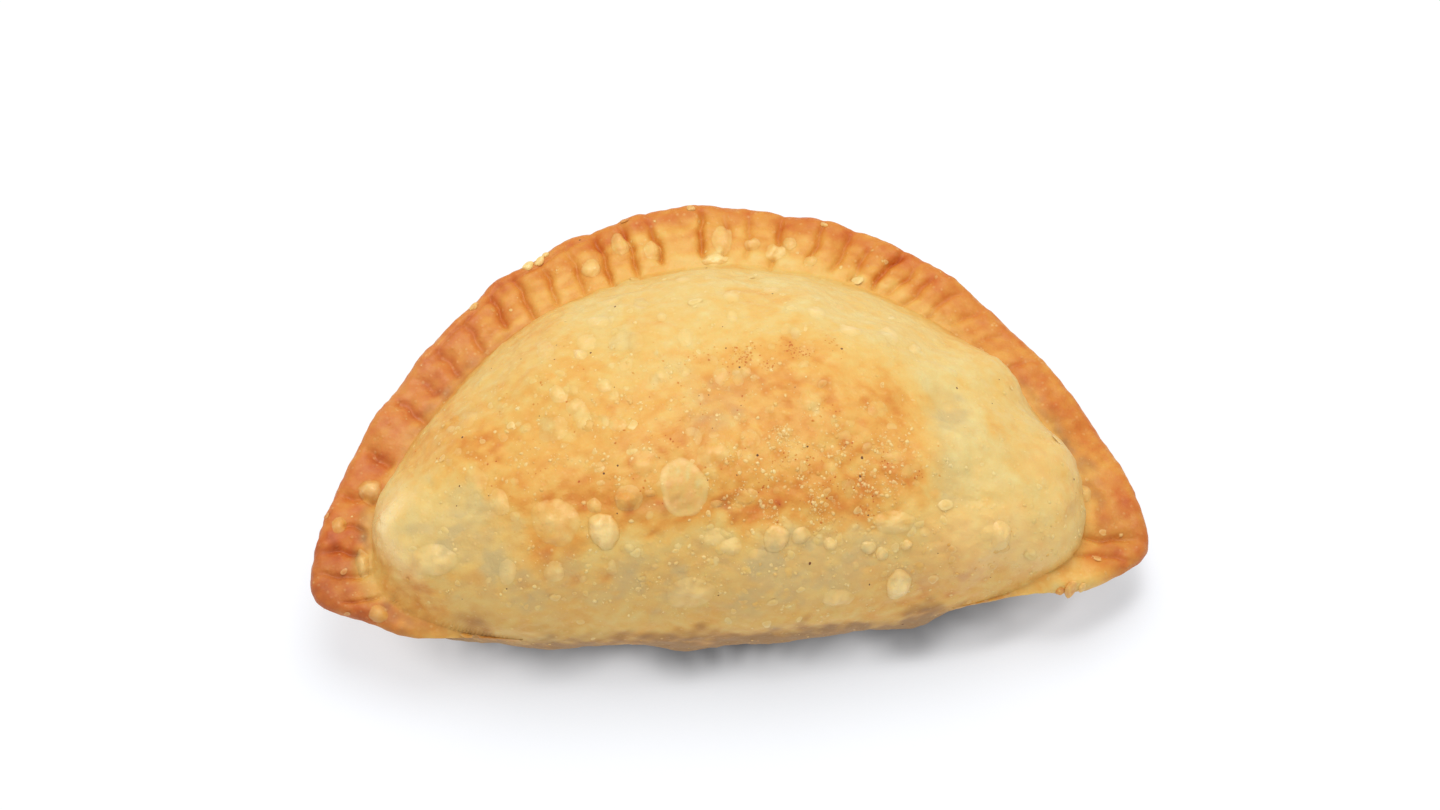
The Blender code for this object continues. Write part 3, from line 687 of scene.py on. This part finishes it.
def crust_material():
    """Fried dough: browning runs through a ramp from straw to dark brown, uneven at the size of a grain of
    flour. Damp dough is greyer, a blister's thin skin is paler and shinier. The damp also holds painted shade
    and light, the dark brown stains hold painted shade, and the pale holds painted light, highlight and
    glints."""
    material, nodes, links, shader = new_material("fried crust")
    place = nodes.new("ShaderNodeTexCoord").outputs["Object"]
    read = {}
    for label in ("browning", "damp_and_shading", "stain_and_shade", "blister"):
        reader = nodes.new("ShaderNodeAttribute")
        reader.attribute_name = label
        read[label] = reader.outputs["Fac"]

    def noise(scale, detail):
        """An uneven pattern through the dough, 0 to 1."""
        made = nodes.new("ShaderNodeTexNoise")
        set_inputs(made, {"Scale": scale, "Detail": detail, "Roughness": 0.6})
        links.new(place, made.inputs["Vector"])
        return made.outputs["Fac"]

    def math(operation, first, second, third=None):
        """The outcome of a sum on sockets or numbers."""
        made = nodes.new("ShaderNodeMath")
        made.operation = operation
        for socket, value in zip(made.inputs, (first, second, third)):
            if isinstance(value, bpy.types.NodeSocket):
                links.new(value, socket)
            elif value is not None:
                socket.default_value = value
        return made.outputs[0]

    mottle, grit = noise(420, 5), noise(1500, 3)
    pores = nodes.new("ShaderNodeTexVoronoi")
    set_inputs(pores, {"Scale": 900})
    links.new(place, pores.inputs["Vector"])
    uneven = math("MULTIPLY_ADD", math("SUBTRACT", mottle, 0.5), 0.20, read["browning"])
    uneven = math("MULTIPLY_ADD", math("SUBTRACT", grit, 0.5), 0.12, uneven)
    beads = math("MAXIMUM", math("SUBTRACT", 0.34, pores.outputs["Distance"]), 0.0)
    clumps = math("MULTIPLY", math("MAXIMUM", math("SUBTRACT", mottle, 0.45), 0.0), 8.0)
    # Sparkle: painted glints on the beads where they clump, and the pale of thin blisters with painted light.
    sparkle = math("MULTIPLY_ADD", math("MULTIPLY", beads, clumps), 0.8, read["blister"])
    ramp = colour_ramp(nodes, [(at, (*colour, 1)) for at, *colour in crust_steps])
    links.new(uneven, ramp.inputs["Fac"])
    base = ramp.outputs["Color"]
    # Greyer where damp, with painted shade and light; dark brown where stained, with painted shade; pale
    # where thin, with painted light and highlight.
    for share, colour, most in (
        (read["damp_and_shading"], (0.52, 0.39, 0.175, 1), 0.75),
        (read["stain_and_shade"], (0.33, 0.17, 0.05, 1), 1.0),
        (sparkle, (0.88, 0.66, 0.285, 1), 0.9),
    ):
        blend = nodes.new("ShaderNodeMix")
        blend.data_type = "RGBA"
        links.new(math("MULTIPLY", share, most), blend.inputs["Factor"])
        links.new(base, blend.inputs["A"])
        blend.inputs["B"].default_value = colour
        base = blend.outputs["Result"]
    links.new(base, shader.inputs["Base Color"])
    rough = math("MULTIPLY_ADD", mottle, 0.3, 0.38)
    links.new(math("MULTIPLY_ADD", read["blister"], -0.4, rough), shader.inputs["Roughness"])
    set_inputs(shader, {"Specular IOR Level": 0.35, "Subsurface Weight": 0.12})
    set_inputs(shader, {"Subsurface Radius": (0.9, 0.45, 0.2), "Subsurface Scale": 3 * MM})
    bump = nodes.new("ShaderNodeBump")
    set_inputs(bump, {"Strength": 0.7, "Distance": 0.3 * MM})
    height = math("MULTIPLY_ADD", beads, 0.9, mottle)
    links.new(math("MULTIPLY_ADD", grit, 0.25, height), bump.inputs["Height"])
    links.new(bump.outputs["Normal"], shader.inputs["Normal"])
    return material


crust = crust_material()


def crust_piece(name, points, faces, values, material=crust):
    """A piece of crust in copies, from the points of each copy, the triangles of one, and at each point its
    browning, dampness with painted shade and light, stain with painted shade, and how far it is a thin
    blister, with painted light and highlight."""
    firsts = np.arange(len(points)) * points.shape[1]
    triangles = (faces + firsts[:, None, None]).reshape(-1, 3)
    attributes = dict(zip(("browning", "damp_and_shading", "stain_and_shade", "blister"), values.reshape(-1, 4).T))
    made = mesh_object(name, points.reshape(-1, 3), triangles, material, attributes)
    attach(made, "root")
    return made


samosa_skin = crust_piece("samosa_skin", points[None], triangles, values[:, :4])
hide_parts("samosa")

# ---- Blisters --------------------------------------------
# Steam lifts thin skins of dough off the crust as it fries. They stay pale, and some of the paleness of their
# middles is painted highlight. Some have a crisp foot and a flat top, and others swell softly. Each: its
# middle on the face, its radius right and up, its height, how pale it is, and how crisp from 0 to 1.
blisters = (
    (-7.9, 16.6, 4.3, 4.6, 0.38, 0.25, 0.75), (-21.3, 10.6, 2.6, 3, 1.2, 1, 0.7),
    (-29, 12.6, 3.9, 4.2, 1, 0.5, 0.2), (-49.5, 7.5, 3.6, 3, 0.9, 0.6, 0.3),
    (-60, 19.4, 2.2, 1.9, 1.1, 0.8, 0.3), (-65.5, 14, 1.4, 1.4, 0.7, 0.5, 0.3),
    (-61.8, 7.6, 1.2, 2.4, 0.7, 0.5, 0.3), (-59.5, -1, 1.8, 1.5, 0.7, 0.5, 0.3),
    (-38, 16.5, 1.8, 2.4, 0.5, 0.5, 0.2), (-22.5, 14.8, 1.3, 1.3, 0.6, 0.6, 0.3),
    (-17.2, 15.2, 2, 1.8, 0.9, 0, 0.3), (-17.8, 27.5, 1.6, 1.6, 0.4, 0.5, 0.2),
    (-14, 21, 2.6, 2.2, 0.5, 0.4, 0.1), (-3, 21.5, 3, 2.2, 0.5, 0.5, 0.1),
    (-19.5, 34, 1.3, 1.3, 0.4, 0.6, 0.3), (-27, 33, 1.6, 1.5, 0.4, 0.6, 0.3),
    (-23, 39.5, 1.2, 1.1, 0.4, 0.6, 0.3), (-24.5, 31, 1.7, 1.4, 0.3, 0.6, 0.3),
    (26.6, -2.2, 2.2, 2.5, 0.9, 1, 0.8), (16.3, -3.2, 2.8, 1.6, 0.8, 0.7, 0.2),
    (43.7, 5, 2, 2.4, 1, 0.8, 0.4), (26, 8.5, 4, 2.2, 0.6, 0.55, 0.1),
    (6.5, 7.4, 2.3, 2.2, 0.9, 0.6, 0.7), (10.6, 7.6, 1.6, 1.5, 0.6, 0.6, 0.5),
    (15.3, 5.8, 1.2, 1.1, 0.5, 0.7, 0.6), (21.7, 4.5, 1.3, 1.2, 0.6, 0.7, 0.8),
    (23.9, 3.2, 1.1, 1.2, 0.5, 0.7, 0.8), (28, 4.4, 1, 0.9, 0.5, 0.6, 0.8),
    (-8, -1, 5, 3, 0.5, 0.45, 0), (-1, 6.5, 2.4, 1.6, 0.5, 0.5, 0.1),
    (60.5, 11, 1.5, 1.4, 0.6, 0.6, 0.3), (3.3, 58.6, 1.9, 2.8, 0.9, 0.6, 0.4),
    (1.7, 55, 2.5, 1.1, 0.7, 0.9, 0.5), (8.5, 57.5, 1.4, 1.3, 0.7, 0.6, 0.4),
    (12.4, 55.8, 2, 1.5, 0.8, 0.8, 0.4), (15, 57, 1.2, 1.4, 0.6, 0.6, 0.4),
    (18.3, 53.6, 1.2, 1.2, 0.6, 0.6, 0.4), (-20, 55, 1.7, 1.8, 0.9, 0.7, 0.4),
    (-14.6, 59, 1.7, 2.2, 0.8, 0.5, 0.4), (-9, 57.5, 1.6, 2, 0.6, 0.5, 0.4),
)


def cap_places(sides, radii):
    """Share of the radius and turn of the points of rings, the outer ring first, and of a last one in the
    middle."""
    r = np.append(np.repeat(radii, sides), 0)
    return r, np.append(np.tile(np.arange(sides) * 2 * np.pi / sides, len(radii)), 0)


def blister_caps(table, sides, radii, seed):
    """Caps on the skin, with r their share of an uneven outline that is a circle with waves of 2, 3, 5 and 9
    round it. A soft one stands height (1 - r^2)^2 proud and a crisp one height (1 - r^4)^0.8. On slopes
    that turn away from the face they are lower, so that they don't stretch."""
    x, up, wide, tall, height, pale, crisp = np.array(table).T[..., None]
    phases = np.random.default_rng(seed).uniform(0, 2 * np.pi, (4, len(x), 1))
    r, turn = (part[None] for part in cap_places(sides, radii))
    outline = 1 + sum(
        depth * np.sin(count * turn + phase)
        for depth, count, phase in zip((0.07, 0.04, 0.03, 0.015), (2, 3, 5, 9), phases)
    )
    starts = np.array([nearest_on_face(*place) for place in np.concatenate([x, up], -1)]).T[..., None]
    tall = tall * np.clip(1.6 * (smooth_normal(*starts, 1) @ face_axis), 0.05, 1)
    places = x + wide * r * outline * np.cos(turn), up + tall * r * outline * np.sin(turn)
    under = under_face(*places, starts)
    foot, facts = skin(*under, 1)
    middle = skin(*under, 1, crimped=0.2)[0]
    place = middle + (foot - middle) * smooth_step(r, 0.5, 1)[..., None]
    crinkle = grain(facts["smooth"], 1.8 * MM, 310)
    proud = height * ((1 - crisp) * (1 - r**2) ** 2 + crisp * (1 - r**4) ** 0.8) * (1 + 0.12 * crinkle) - 0.05
    browning, damp_and_shading, stain_and_shade, stretched_and_lit = crust_colours(facts)
    # Thin skin is paler; the pale top of soft ones and the pale middle of crisp ones are partly painted
    # highlight.
    ring, fill = np.exp(-(((r - 0.84) / 0.12) ** 2)), smooth_step(-r, -0.9, -0.3)
    thin_and_highlight = pale * (1 - crisp) * (1 - r**2) * (1 - 0.5 * smooth_step(browning, 0.22, 0.38))
    thin_and_highlight += crisp * (0.42 * ring + pale**2 * fill)
    thin_and_highlight = np.clip(thin_and_highlight + 0.15 * np.maximum(pale, crisp) * crinkle * smooth_step(-r, -1, -0.8), 0, 1)
    inside = 1 - r**8
    browning = browning + (0.3 + 0.14 * crinkle - browning) * crisp * inside
    damp_and_shading = damp_and_shading + 0.4 * crisp**2 * inside
    colours = browning * (1 - 0.3 * thin_and_highlight), damp_and_shading * (1 - thin_and_highlight), stain_and_shade, np.maximum(thin_and_highlight, stretched_and_lit)
    return place + facts["normal"] * (proud * MM)[..., None], np.stack(colours, -1)


def cap_triangles(sides, rings):
    """Triangles of rings of points round a last point, the outer ring first."""
    numbers = np.arange(sides * rings).reshape(rings, sides)
    faces = [ring_faces(outer, inner) for outer, inner in zip(numbers, numbers[1:])]
    return np.concatenate([*faces, fan(numbers[-1], sides * rings)])


def place_caps(name, table, sides, radii, seed):
    """A piece of blisters, laid down with the skin."""
    places, colours = blister_caps(table, sides, radii, seed)
    crust_piece(name, lay_down(places), cap_triangles(sides, len(radii)), colours)


crisp_radii = (1.0, 0.985, 0.96, 0.92, 0.86, 0.78, 0.67, 0.54, 0.4, 0.26, 0.12)
place_caps("crust_blisters", blisters, 56, crisp_radii, 300)


belly_limit, least_facing = 0.93, 0.3


def seeded_blisters(count, region, radius, height, pale, seed):
    """Soft low blisters at seeded places of an oval region of the face, where it is the belly's and turned
    towards the front."""
    rng = np.random.default_rng(seed)
    middle, reach = region
    for _ in range(count):
        turn, share = rng.uniform(0, 2 * np.pi), np.sqrt(rng.uniform(0, 1))
        x, up = middle[0] + reach[0] * share * np.cos(turn), middle[1] + reach[1] * share * np.sin(turn)
        size = radius[0] * (radius[1] / radius[0]) ** (rng.uniform(0, 1) ** 1.5)
        long, proud, paler = rng.uniform(0.8, 1.25), rng.uniform(0.6, 1.4), rng.uniform(0.5, 1.2)
        direction, v = np.array(nearest_on_face(x, up))[:, None]
        if v < belly_limit and smooth_normal(direction, v, 1)[0] @ face_axis > least_facing:
            yield x, up, size * long, size / long, height * proud * size, pale * paler, rng.uniform(0, 0.3)


# Each region: how many are tried, its middle and reach, smallest and largest radius, height, paleness, seed.
soft_regions = (
    (60, ((-22, 30), (26, 20)), (0.9, 2.6), 0.09, 0.36, 321),
    (40, ((8, 44), (34, 11)), (0.9, 2.6), 0.1, 0.42, 322),
    (60, ((5, 1), (50, 8)), (0.7, 2.2), 0.18, 0.55, 323),
    (30, ((14, 18), (18, 12)), (0.8, 2.4), 0.09, 0.32, 324),
)
soft_blisters = [blister for region in soft_regions for blister in seeded_blisters(*region)]
soft_radii = (1, 0.94, 0.86, 0.75, 0.62, 0.46, 0.28, 0.12)
place_caps("soft_blisters", soft_blisters, 24, soft_radii, 320)

# ---- Flakes and lip bubbles ------------------------------
# Where the two sheets part at the lip, small bubbles stand on it, and a toasted flake hangs under the right
# tail. Each: direction in degrees, v, its radii along the edge, across and square to it, its browning and how
# pale it is.
lip_flakes = (
    (128.2, 1.93, 1.2, 0.8, 0.7, 0.35, 0.8), (125.6, 1.90, 1.1, 0.7, 0.6, 0.4, 0.7),
    (123.8, 1.92, 0.7, 0.5, 0.5, 0.4, 0.6), (141.5, 1.90, 0.9, 0.6, 0.5, 0.5, 0.4),
    (92, 1.88, 0.8, 0.6, 0.4, 0.5, 0.4), (64, 1.90, 0.8, 0.5, 0.4, 0.5, 0.4),
    (333.6, 1.95, 2.1, 0.9, 0.55, 0.46, 0.25), (332.7, 1.98, 1, 0.7, 0.5, 0.55, 0.15),
    (334.6, 1.96, 1, 0.6, 0.45, 0.42, 0.4),
)
flake_sides, flake_rings = 20, 11


def lip_flake(number, direction, v, long, wide, thick, browning, pale):
    """An uneven ball: a unit ball pushed in and out by 0.12 of a grain pattern and scaled by its radii."""
    at = np.radians([direction]), np.array([v])
    middle, facts = skin(*at, 1)
    up = facts["normal"][0]
    along = unit(np.cross(up, np.array([np.cos(at[0][0]), np.sin(at[0][0]), 0])))
    tilt = np.linspace(0, np.pi, flake_rings + 2)[1:-1, None]
    turn = np.arange(flake_sides) * 2 * np.pi / flake_sides
    ball = np.stack([np.cos(turn) * np.sin(tilt), np.sin(turn) * np.sin(tilt), np.cos(tilt) + 0 * turn], -1)
    ball = np.concatenate([ball.reshape(-1, 3), [[0, 0, 1], [0, 0, -1]]])
    ball *= 1 + 0.12 * grain(ball, 1.6, 600 + number)[:, None]
    axes = np.stack([along * long, np.cross(up, along) * wide, up * thick]) * MM
    colours = np.tile([browning, 0, 0, pale], (len(ball), 1))
    colours[:, 0] += 0.08 * grain(ball, 0.8, 620 + number)
    return middle[0] + ball @ axes, colours


def ball_triangles():
    """Triangles of rings of points from the top down, then a point above them and a point below."""
    numbers = np.arange(flake_sides * flake_rings).reshape(flake_rings, flake_sides)
    faces = [ring_faces(lower, upper) for upper, lower in zip(numbers, numbers[1:])]
    above, below = numbers.size, numbers.size + 1
    return np.concatenate([*faces, fan(numbers[0], above), fan(numbers[-1], below)[:, ::-1]])


flakes_made = [lip_flake(number, *facts) for number, facts in enumerate(lip_flakes)]
flake_points = lay_down(np.array([place for place, _ in flakes_made]))
crust_piece("lip_flakes", flake_points, ball_triangles(), np.array([colours for _, colours in flakes_made]))

# ---- Bubbles and specks ----------------------------------
# Small steam bubbles stand in the crust where it is toasted and on the damp wall by the fold. They are thin
# and paler than the dough round them, with painted highlight on their tops and rings. Specks of spice and
# burnt flour lie between them.
skin_normals = np.empty(len(points) * 3, np.float32)
samosa_skin.data.vertices.foreach_get("normal", skin_normals)
skin_normals = skin_normals.reshape(-1, 3)
face_x, face_up, belly_share = values[:, 4:].T
first, second, third = points[triangles].transpose(1, 0, 2)
triangle_areas = np.linalg.norm(np.cross(second - first, third - first), axis=-1) / 2
skin_areas = np.bincount(triangles.ravel(), np.repeat(triangle_areas, 3), len(points)) / 3


def scatter_domes(name, density, clumping, count, shape, radius, flatness, paleness_and_highlight, seed, soft=0.8, darker=0,
                  material=crust):
    """Domes of height (1 - r^2)^soft at seeded points of the skin, in clumps, palest on their tops and, where
    soft is over 0.8, more on a ring near their foot: the thin dough's paleness with painted highlight. Their
    damp and painted shade fade towards their tops. Density is a chance at each point, shape is sides and
    rings, radius is a range in millimetres, and darker is how much a dome's top is browned."""
    rng = np.random.default_rng(seed)
    chance = density * skin_areas * np.exp(clumping * grain(points, 5 * MM, seed + 50))
    at = rng.choice(len(points), count, replace=False, p=chance / chance.sum())
    size = radius[0] * (radius[1] / radius[0]) ** (rng.uniform(0, 1, count) ** 1.8) * MM
    up = skin_normals[at]
    across = unit(np.cross(up, unit(rng.normal(size=(count, 3)))))
    side = np.cross(up, across)
    moved = rng.uniform(-0.6, 0.6, (2, count, 1)) * np.sqrt(skin_areas[at])[:, None]
    middles = points[at] + moved[0] * across + moved[1] * side
    sides, rings = shape
    r, turn = cap_places(sides, (np.arange(rings, 0, -1) / rings) ** 0.8)
    stretch = rng.uniform(0.85, 1.2, count)[:, None, None]
    size = size[:, None, None]
    tall = size * flatness * rng.uniform(0.7, 1.3, count)[:, None, None]
    uneven = 1 + 0.12 * np.sin(2 * turn + rng.uniform(0, 6, (count, 1))) + 0.08 * np.sin(3 * turn)
    proud = ((1 - r**2) ** soft)[None, :, None]
    domes = (
        middles[:, None]
        + (r * uneven * np.cos(turn))[..., None] * size * stretch * across[:, None]
        + (r * uneven * np.sin(turn))[..., None] * size / stretch * side[:, None]
        + (proud * tall - 0.08 * size) * up[:, None]
    )
    top = (1 - r**2)[None] ** 0.4
    ring = np.exp(-(((r - 0.7) / 0.2) ** 2))[None]
    thin_and_highlight = paleness_and_highlight * rng.uniform(0.1, 1, (count, 1)) * (top + (ring - top) * min(soft - 0.8, 1) * 0.8)
    browning = np.clip(values[at, 0][:, None] * (1 - 0.3 * thin_and_highlight) + darker * top, 0, 1)
    dark = 1 - 0.8 * top
    colours = np.stack([browning, values[at, 1][:, None] * dark, values[at, 2][:, None] * dark, thin_and_highlight], -1)
    return crust_piece(name, domes, cap_triangles(sides, rings), colours, material)


front_axis = np.array([0, -0.5, 0.87])
shown = smooth_step(skin_normals @ front_axis, 0.05, 0.4) * (0.25 + 0.75 * belly_share)
toasted_share = patch(face_x, face_up, (15, 17), (17, 9), 2)
left_share = patch(face_x, face_up, (-20, 26), (30, 14), 2)
wall_share = patch(face_x, face_up, (10, 2), (50, 8), 2)
crown_share = patch(face_x, face_up, (0, 50), (40, 9), 2)
edge_share = patch(face_x, face_up, (6, 37), (11, 2.5), 1.5)
scatter_domes(
    "fine_bubbles", shown * (toasted_share + 0.12 * left_share + 0.2 * wall_share + 0.012),
    clumping=1.1, count=2400, shape=(8, 2), radius=(0.10, 0.48), flatness=0.4, paleness_and_highlight=0.8, seed=5,
)
scatter_domes(
    "bubbles", shown * (0.3 * toasted_share + 0.8 * wall_share + 0.1 * crown_share + 0.2 * left_share + 0.1),
    clumping=0.7, count=300, shape=(16, 6), radius=(0.35, 1.3), flatness=0.2, paleness_and_highlight=0.75, seed=6, soft=1.5,
)
scatter_domes(
    "toasted_grains", shown * (0.5 * toasted_share + 4 * edge_share + 0.1 * left_share),
    clumping=1.4, count=420, shape=(7, 2), radius=(0.1, 0.3), flatness=0.35, paleness_and_highlight=0, seed=9, darker=0.3,
)


def burnt_material():
    """Burnt flour and spice: nearly black brown, a little uneven."""
    material, nodes, links, shader = new_material("burnt specks")
    noise = nodes.new("ShaderNodeTexNoise")
    set_inputs(noise, {"Scale": 2500})
    links.new(nodes.new("ShaderNodeTexCoord").outputs["Object"], noise.inputs["Vector"])
    ramp = colour_ramp(nodes, ((0, paint(52, 30, 12)), (1, paint(140, 84, 34))))
    links.new(noise.outputs["Fac"], ramp.inputs["Fac"])
    links.new(ramp.outputs["Color"], shader.inputs["Base Color"])
    set_inputs(shader, {"Roughness": 0.6})
    return material


scatter_domes(
    "burnt_specks", shown * (0.3 + left_share + toasted_share),
    clumping=0.6, count=60, shape=(8, 2), radius=(0.1, 0.28), flatness=0.4, paleness_and_highlight=0, seed=7,
    material=burnt_material(),
)

# ---- Floor, light and camera -----------------------------
# A white table, a large soft light high behind, and an even white room. The table is lit from below, which
# weakens the shadow on it, and it is darkened again where the skin comes near.
cell = 1 * MM
cells = 256
floor_line = (np.arange(cells) - cells / 2) * cell
shade_blur = 1.2 * MM
shade_strength = 6


def contact_shade():
    """How dark each cell of the table is: the skin area over it, weighed by exp(-height / 2.5 mm) and under
    the raised right tail by 0.3 exp(-height / 5 mm) more, blurred by a bell curve as wide as shade_blur and
    saturating as 1 - exp(-shade_strength area)."""
    edges = np.append(floor_line, floor_line[-1] + cell) - cell / 2
    height, right = points[:, 2] / MM, smooth_step(points[:, 0] / MM, 20, 45)
    weights = skin_areas * (np.exp(-height / 2.5) + 0.3 * right * np.exp(-height / 5)) / cell**2
    over = np.histogram2d(points[:, 0], points[:, 1], edges, weights=weights)[0]
    along_x, along_y = np.fft.fftfreq(cells, cell)[:, None], np.fft.rfftfreq(cells, cell)
    keep = np.exp(-2 * (np.pi * shade_blur) ** 2 * (along_x**2 + along_y**2))
    blurred = np.fft.irfft2(np.fft.rfft2(over) * keep, (cells, cells))
    return 1 - np.exp(-shade_strength * np.clip(blurred, 0, None))


def floor_material():
    """A white table lit from below, from white to black by its attribute shade."""
    material, nodes, links, shader = new_material("light table")
    reader = nodes.new("ShaderNodeAttribute")
    reader.attribute_name = "shade"
    ramp = colour_ramp(nodes, ((0, paint(160, 162, 165)), (1, paint(12, 12, 14))))
    links.new(reader.outputs["Fac"], ramp.inputs["Fac"])
    for socket in ("Base Color", "Emission Color"):
        links.new(ramp.outputs["Color"], shader.inputs[socket])
    set_inputs(shader, {"Emission Strength": 1.68, "Roughness": 0.9})
    return material


floor_reach = 3.0
wide_line = np.concatenate([[-floor_reach], floor_line, [floor_reach]])
floor_x, floor_y = np.meshgrid(wide_line, wide_line, indexing="ij")
floor_points = np.stack([floor_x, floor_y, 0 * floor_x], -1).reshape(-1, 3)
numbers = np.arange(len(floor_points)).reshape(floor_x.shape)
first, second = numbers[:-1, :-1].ravel(), numbers[1:, :-1].ravel()
third, fourth = numbers[1:, 1:].ravel(), numbers[:-1, 1:].ravel()
floor_faces = np.concatenate([np.stack([first, second, third], -1), np.stack([first, third, fourth], -1)])
shade = np.pad(contact_shade(), 1).ravel()
floor = mesh_object("floor", floor_points, floor_faces, floor_material(), {"shade": shade})

room = bpy.data.worlds.new("room")
room.use_nodes = True
set_inputs(room.node_tree.nodes["Background"], {"Color": (1, 1, 1, 1), "Strength": 0.7})
bpy.context.scene.world = room
bpy.context.scene.view_settings.view_transform = "Standard"

pastry_middle = (pastry_low + pastry_high) / 2
light_data = bpy.data.lights.new("soft light", "AREA")
light_data.shape = "DISK"
light_data.size = 0.5
light_data.energy = 3.3
light = add_object("soft light", light_data)
light.location = pastry_middle + Vector((0.02, 0.16, 0.7))
light.rotation_euler = (light.location - pastry_middle).to_track_quat("Z", "Y").to_euler()

camera_data = bpy.data.cameras.new("camera")
camera_data.lens = 85
camera_data.clip_start = 0.01
camera = add_object("camera", camera_data)
elevation, bearing, distance = np.radians(60), np.radians(-5.0), 0.59
towards = Vector((
    np.sin(bearing) * np.cos(elevation),
    -np.cos(bearing) * np.cos(elevation),
    np.sin(elevation),
))
aim = pastry_middle + Vector((0.5, 5.0, -7.3)) * MM
camera.location = aim + towards * distance
roll = Matrix.Rotation(np.radians(0.31), 3, "Z")
camera.rotation_euler = (towards.to_track_quat("Z", "Y").to_matrix() @ roll).to_euler()
bpy.context.scene.camera = camera
